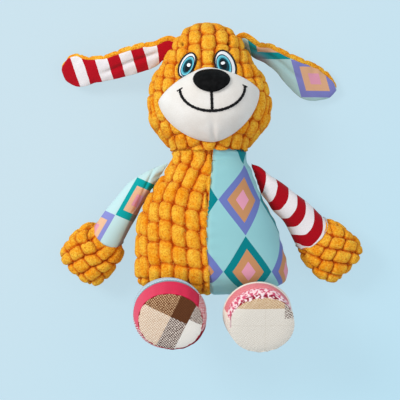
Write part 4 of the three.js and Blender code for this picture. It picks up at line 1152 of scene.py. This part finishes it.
for side, word, length, heading, armpit, table in (
    (-1, "right", 76.0, -131.0, 0.743, right_sleeve),
    (1, "left", 75.5, -43.5, 0.691, left_sleeve),
):
    top = torso_side(side, torso_low + 0.915 * torso_height)
    low = torso_side(side, torso_low + armpit * torso_height)
    top, low, _ = seam_ends(side, top, low, shoulder_gap)
    sink = Matrix.Rotation(math.radians(12), 3, "Y")
    turn = np.array(Matrix.Rotation(math.radians(heading), 3, "Z") @ sink)
    start = (top + low) / 2
    local_top, local_low = (top - start) @ turn, (low - start) @ turn
    stations = [(0.0, *local_top[:2], *local_low[:2], 0.9)]
    for i, (a, outer, b, inner, thick) in enumerate(table):
        outer_edge = a * length, side * outer * length
        inner_edge = b * length, side * inner * length
        stations.append((i + 1.0, *outer_edge, *inner_edge, thick * arm_thick))
    rows = []
    for _, ax, ay, bx, by, deep in row_at(stations, np.linspace(0, len(table), 100)).T:
        way = np.array([ax - bx, ay - by, 0])
        middle = np.array([(ax + bx) / 2, (ay + by) / 2, 0])
        half = np.linalg.norm(way) / 2
        rows.append((middle, half, deep, way / (2 * half) * side))
    grid, uv = tube(rows, sleeve_around, 2.2)
    u, t = uv[:, :-1, 0], uv[:, :-1, 1]
    sleeve_end = t.max()
    gathers = 0.55 * np.sin(u / 1.5 + side) * np.exp(-t / 7)
    gathers += 0.2 * np.sin(u / 1.9) * np.exp(-(sleeve_end - t) / 5)
    soft = 0.5 * np.sin(t / 9 + u / 13 + side) + 0.35 * np.sin(t / 5.3 - u / 9)
    wrist = -0.9 * np.exp(-(sleeve_end - t) / 2.5)
    height = gathers + soft * smooth_step(t, 3, 18) + wrist
    height[0] = height[-1] = 0
    outward = facing(grid)
    grid[:, :, 0] += wrist_lead * smooth_step(t / sleeve_end, 0.3, 1.0) * crown_of(grid)
    grid = grid + outward * height[:, :, None]
    grid = grid @ turn.T + start
    flat = seen_from_above(grid)
    if side < 0:
        centre, wide, tall = (-69.6, 42.8), (42.6, 26.5), (0.95, -45.5)
        past_seam = 0.902 * (grid[:, :, 0] + 65) - 0.43 * (grid[:, :, 1] - 50.3)
        grid[:, :, 2] -= 1.5 * near(past_seam, 1.3) * (grid[:, :, 2] > seam_z)
        # Painted shade: a mauve strip on the sleeve's underside past its seam, where the torso
        # shades it.
        below_shoulder = 1 - smooth_step(grid[:, :, 1], 47, 57)
        shade_marks = {"flank_shade": 0.72 * smooth_step(past_seam, -0.8, 0.8) * below_shoulder}
        cloth = argyle_print("argyle_velour_sleeve", centre, wide, tall, 1.0, lit_sleeve_dyes)
    else:
        aim = np.array([math.cos(math.radians(heading)), math.sin(math.radians(heading))])
        along = (flat - start[:2]) @ aim
        out = (flat - start[:2]) @ np.array([-aim[1], aim[0]])
        # The bands curve across the arm's upper half, and slant past the seam on its lower half.
        bend = np.clip((out + 4.7) / 19.9, 0, 1.2)
        along = along + 9.5 * (0.2 * bend + 0.8 * bend**3)
        under_seam = -6.6 - 4.7 * smooth_step(along, 68, 80)
        past_seam = under_seam - out
        along += 0.575 * (past_seam + np.hypot(past_seam, 2.5))
        along += 0.45 * (out + 6.6) * (1 - smooth_step(along, 8, 36))
        flat[:, :, 1] = np.maximum(along, 3.5)
        shade_marks = {}
        dark, bright = (154, 4, 20), (178, 10, 28)
        cloth = striped_velour("striped_velour_sleeve", 22.7, 2.9, dark, bright)
    sleeve = sewn(word + "_sleeve_velour", cloth, grid, flat, shade_marks)
    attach(sleeve, word + "_arm")
    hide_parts(word + "_sleeve", word + "_arm_filling")
    a, outer, b, inner, thick = table[-1]
    wrist_x, wrist_y = (a + b) / 2 * length, (outer + inner) / 2 * side * length
    wrist_half = math.hypot((a - b) * length, (outer - inner) * length) / 2
    first = np.array([(a - b) * length, side * (outer - inner) * length, 0])
    first /= np.linalg.norm(first)
    rows = []
    tip_steps = 0.8 + 0.2 * np.sin(np.linspace(0, math.pi / 2, 34)[1:])
    paw_steps = np.concatenate([[-0.08, -0.03], np.linspace(0, 0.8, 80), tip_steps])
    for share in paw_steps:
        _, wide, deep = row_at(paw_shares, share)
        settle = min(max(share, 0) / 0.12, 1)
        way = first * (1 - settle) + np.array([0, side, 0]) * settle
        tuck = 0.97 + min(share, 0)
        half = wrist_half * tuck * (1 - settle) + wide * paw_width / 2 * settle
        through = thick * arm_thick * tuck * (1 - settle) + deep * paw_thick / 2 * settle
        middle = np.array([wrist_x + share * paw_length, wrist_y, 0])
        rows.append((middle, half, through, way / np.linalg.norm(way) * side))
    grid, uv = tube(rows, paw_around, 2.7)
    u, t = uv[:, :-1, 0], uv[:, :-1, 1].copy()
    normal = facing(grid)
    for r in range(2, len(t)):
        t[r] = t[r - 1] + np.linalg.norm(grid[r] - grid[r - 1], axis=1)
    tilt = math.radians(25 if side > 0 else -17)
    across = u * math.cos(tilt) - t * math.sin(tilt)
    along = u * math.sin(tilt) + t * math.cos(tilt)
    pillows = cob(across + 7, along + 3, paw_pillow, 3.1 + side)
    height = (-groove_sink + pillow_rise * pillows) * smooth_step(t, 4, 9) - 0.6 * np.exp(-t / 3)
    height[0] = height[-1] = height[-2].mean()
    lead = 1 - smooth_step(np.concatenate([paw_steps[:1], paw_steps, paw_steps[-1:]]), 0, 0.75)
    grid[:, :, 0] += wrist_lead * lead[:, None] * crown_of(grid)
    grid = grid + normal * height[:, :, None]
    grid = grid @ turn.T + start
    lay_on_table(grid)
    # The paw's groove values place painted shade between its pillows.
    paw = sewn(word + "_paw_plush", orange_plush, grid, uv, {"groove_shade": 1 - pillows})
    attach(paw, word + "_arm")
    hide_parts(word + "_paw")

# Each leg is a round boot of stacked cloth bands. It starts as a flat hem in the torso's
# bottom seam, swells upwards and is closed by a flat patchwork sole.
leg_length, boot_width, hip_half = 74.0, 67.5, 20.0
boot_around = 192
hem_gap = 0.8  # between the hem and the torso's bottom seam
# Place along as a share of the length, and the radius above, below and sideways as shares
# of half the boot's width.
leg_shares = [
    (0.16, 0.13, 0.3, 0.65),
    (0.3, 0.29, 0.56, 0.77),
    (0.42, 0.53, 0.77, 0.89),
    (0.56, 0.84, 0.92, 0.98),
    (0.74, 0.99, 0.98, 1),
    (0.89, 0.98, 0.965, 0.98),
    (1, 0.905, 0.905, 0.905),
]


def woven(name, layout):
    """Coarse plain weave of two yarns, laid out in patches by a function of the UV map."""
    finish = Finish(name, (228, 220, 210), 0.9, 0.06)
    across, up, _ = finish.split(finish.uv)
    wander = finish.noise(0.0022, 2.0)
    warp = finish.wave(finish.times(finish.times_plus(wander, 2.2, across), 2.5))
    weft = finish.wave(finish.times(finish.times_plus(wander, -2.2, up), 2.5))
    check = finish.times(warp, weft)
    yarn = finish.between(check, -0.4, 0.4)
    finish.colour(layout(finish, across, up, yarn))
    height = finish.times_plus(check, 0.5, finish.noise(0.0009))
    finish.bump(height, 0.0004, 0.5)
    return finish.material


def checked_sole(finish, across, up, yarn):
    """A turned plaid: cream, brown dots, dark brown, brown hatch and white."""
    turn = math.radians(-19)
    x = finish.minus(across, 2.0)
    y = finish.minus(up, 5.2)
    p = finish.plus(finish.times(x, math.cos(turn)), finish.times(y, math.sin(turn)))
    q = finish.plus(finish.times(x, math.sin(turn)), finish.times(y, -math.cos(turn)))
    cream = finish.mix(yarn, (206, 172, 144), (242, 226, 206))
    dots = finish.mix(finish.sum("POWER", yarn, 2.5), (104, 58, 28), (216, 178, 138))
    brown = finish.mix(yarn, (82, 46, 26), (104, 62, 36))
    hatch = finish.mix(finish.sum("POWER", yarn, 1.6), (66, 36, 30), (236, 222, 210))
    white = finish.mix(yarn, (228, 222, 214), (238, 234, 228))
    below = finish.over(q, 0.0)
    left = finish.mix(below, dots, cream)
    middle = finish.mix(below, brown, hatch)
    right = finish.mix(finish.over(q, -4.7), hatch, white)
    tone = finish.mix(finish.over(p, 0.0), left, middle)
    return finish.mix(finish.over(p, 16.0), tone, right)


def cream_sole(finish, across, up, yarn):
    """Off-white cloth with a tan band across its top and a faint window check."""
    plain = finish.mix(yarn, (222, 214, 202), (234, 228, 218))
    band = finish.mix(yarn, (178, 134, 88), (238, 218, 188))
    high = finish.times_plus(across, 0.144, up)
    far = finish.times_plus(up, -0.144, across)
    rule = finish.over(high, 17.0)
    line = finish.under(finish.size(finish.minus(high, 0.5)), 0.35)
    post = finish.under(finish.size(finish.minus(far, 5.0)), 0.35)
    grid_line = finish.sum("MAXIMUM", line, post)
    tone = finish.mix(finish.times(grid_line, 0.25), plain, (196, 184, 168))
    tone = finish.mix(rule, tone, band)
    mauve = finish.times(finish.under(far, -26.0), finish.sum("COMPARE", high, 3.0, 5.0))
    tone = finish.mix(finish.times(mauve, 0.6), tone, (196, 150, 160))
    hatch = finish.mix(yarn, (104, 80, 70), (236, 228, 218))
    corner = finish.times(finish.over(far, 22.5), finish.over(high, 7.0))
    return finish.mix(corner, tone, hatch)


def bands_of(finish, along, tones):
    """Bands down the boot from its sole: pairs of the depth where each starts and its colour."""
    tone = tones[0][1]
    for depth, colour in tones[1:]:
        tone = finish.mix(finish.over(along, depth), tone, colour)
    return tone


def checked_boot(finish, around, along, yarn):
    """Pink-red over a grey-blue band, and a red and white dotted cloth round the underside. The
    pink is painted lighter on one side and darker on the other, and a dark red band of painted
    shade lies further round.
    """
    dotted = finish.mix(finish.over(yarn, 0.5), (186, 26, 52), (238, 214, 214))
    # Painted light and shade: the pink is lighter towards one side of the boot and darker towards
    # the other.
    pink = finish.mix(finish.between(around, -55, 0), (226, 92, 116), (216, 48, 82))
    pink = finish.mix(finish.between(around, 5, 50), pink, (152, 28, 50))
    grey = finish.mix(yarn, (196, 212, 222), (160, 186, 200))
    upper = bands_of(finish, along, [(0, pink), (17, (120, 150, 158)), (19, grey)])
    left = finish.under(around, 26)
    right = finish.over(around, -58)
    side = finish.times(left, right)
    tone = finish.mix(side, dotted, upper)
    # Painted shade: a dark red band over the dotted cloth on the boot's shaded side.
    tone = finish.mix(finish.sum("COMPARE", around, 72.0, 20.0), tone, (136, 14, 34))
    seam = finish.under(along, 1.2)
    return finish.mix(seam, tone, (152, 14, 40))


def cream_boot(finish, around, along, yarn):
    """Crimson with white specks at the sole, a pink dotted band, a coral one, and cream cloth."""
    speck = finish.noise(0.0024, 1.0)
    rim = finish.mix(finish.between(speck, 0.5, 0.58), (150, 14, 50), (248, 226, 230))
    pink = finish.mix(finish.between(speck, 0.44, 0.54), (212, 84, 116), (248, 220, 222))
    coral = finish.mix(yarn, (220, 118, 128), (230, 140, 144))
    cream = finish.mix(yarn, (238, 224, 208), (246, 236, 224))
    upper = bands_of(finish, along, [(0, rim), (5, pink), (13, coral), (22, cream)])
    side = finish.under(finish.size(around), 38)
    return finish.mix(side, cream, upper)


sole_flatness = 0.9  # the sole's height over its width
ahead = np.array([0, 1.0, 0])  # the boot's own direction across


def sole_ring(rise, shift, radius, share):
    """One ring of the sole, that far above the boot's rim."""
    middle = np.array([leg_length + rise, shift, 0])
    return middle, radius * share, radius * sole_flatness * share, ahead


for side, word, place, sideways, lean, sole_shift, breadth, sole_size in (
    (-1, "right", (-36.747, -45.101, 44.0), (0.99258, -0.12162, 0.0), 16.0, 2.2, 1.0, 0.86),
    (1, "left", (40.043, -44.616, 44.0), (0.98993, 0.14157, 0.0), 19.6, 2.2, 0.92, 0.87),
):
    sideways = np.array(sideways)
    down = np.array([sideways[1], -sideways[0], 0])
    lean = math.radians(lean)
    along_axis = down * math.sin(lean) + np.array([0, 0, 1]) * math.cos(lean)
    up_axis = np.cross(along_axis, sideways)
    basis = np.array([along_axis, sideways, up_axis])
    start = np.array(place)
    half = boot_width / 2
    stations = [(0.0, 0.9 / half, 0.9 / half, hip_half / half)] + leg_shares
    rows = []
    for share in np.linspace(0, 1, 96):
        _, upper, lower, wide = row_at(stations, share)
        end = float(smooth_step(share, 0.7, 1.0))
        narrow = 1 - (1 - breadth) * float(smooth_step(share, 0.25, 0.7))
        reach = hem_gap + share * (leg_length - hem_gap)
        middle = np.array([reach, end * sole_shift, (upper - lower) / 2 * half])
        deep = (upper + lower) / 2 * half * (1 - end * (1 - sole_flatness))
        rows.append((middle, wide * half * narrow, deep, ahead))
    middle, wide, deep, _ = rows[-1]
    for turn in np.linspace(0, math.pi / 2, 9)[1:]:
        shrink = 1 - 0.05 * math.sin(turn)
        rise = np.array([1.6 * math.sin(turn), 0, 0])
        rows.append((middle + rise, wide * shrink, deep * shrink, ahead))
    rows.append((middle + np.array([0.6, 0, 0]), wide * 0.9, deep * 0.9, ahead))
    grid, uv = tube(rows, boot_around, 2.15)
    u, t = uv[:, :-1, 0], uv[:, :-1, 1]
    uv[:, :, 1] = uv[:, :, 1].max() - uv[:, :, 1]
    hem = 0.5 * np.sin(u / 1.7) * np.exp(-t / 8)
    soft = 0.5 * np.sin(t / 8 + u / 15 + side) + 0.4 * np.sin(u / 8 + t / 19)
    seams = np.zeros_like(t)
    for depth in ((17.0, 19.0) if side < 0 else (13.0, 22.0)):
        seams -= 0.9 * near(uv[:, :-1, 1] - depth, 0.9)
    height = hem + soft * smooth_step(t, 4, 20) * (1 - smooth_step(t, 62, 72)) + seams
    height[0] = height[-1] = 0
    grid = grid + facing(grid) * height[:, :, None]
    grid = grid @ basis + start
    if side < 0:
        cover = woven("pink_and_dotted_cloth", checked_boot)
        patch = woven("checked_cloth", checked_sole)
    else:
        cover = woven("cream_and_pink_cloth", cream_boot)
        patch = woven("cream_cloth", cream_sole)
    boot = sewn(word + "_boot_cloth", cover, grid, uv)
    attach(boot, word + "_leg")
    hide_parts(word + "_leg_cover", word + "_leg_filling")
    radius = sole_size * half
    shares = np.sin(np.linspace(0, math.pi / 2, 40))
    rows = []
    for share in shares:
        rise = 3.4 - 1.9 * share**6 + 0.35 * (1 - share**2)
        rows.append(sole_ring(rise, sole_shift, radius, share))
    for share in (0.97, 0.6, 0.05):
        rows.append(sole_ring(-0.6, sole_shift, radius, share))
    grid, uv = tube(rows, boot_around, 2.15)
    puckers = 0.22 * np.sin(np.arange(boot_around) / boot_around * 2 * math.pi * 44)
    edge = np.concatenate([[0], shares, [0.97, 0, 0], [0]]) ** 10
    grid[:, :, 0] += edge[:, None] * puckers[None, :]
    uv[:, :-1, 0] = grid[:, :, 1]
    uv[:, :-1, 1] = grid[:, :, 2]
    uv[:, -1] = uv[:, 0]
    grid = grid @ basis + start
    sole = sewn(word + "_sole_cloth", patch, grid, uv)
    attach(sole, word + "_leg")
    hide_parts(word + "_sole")
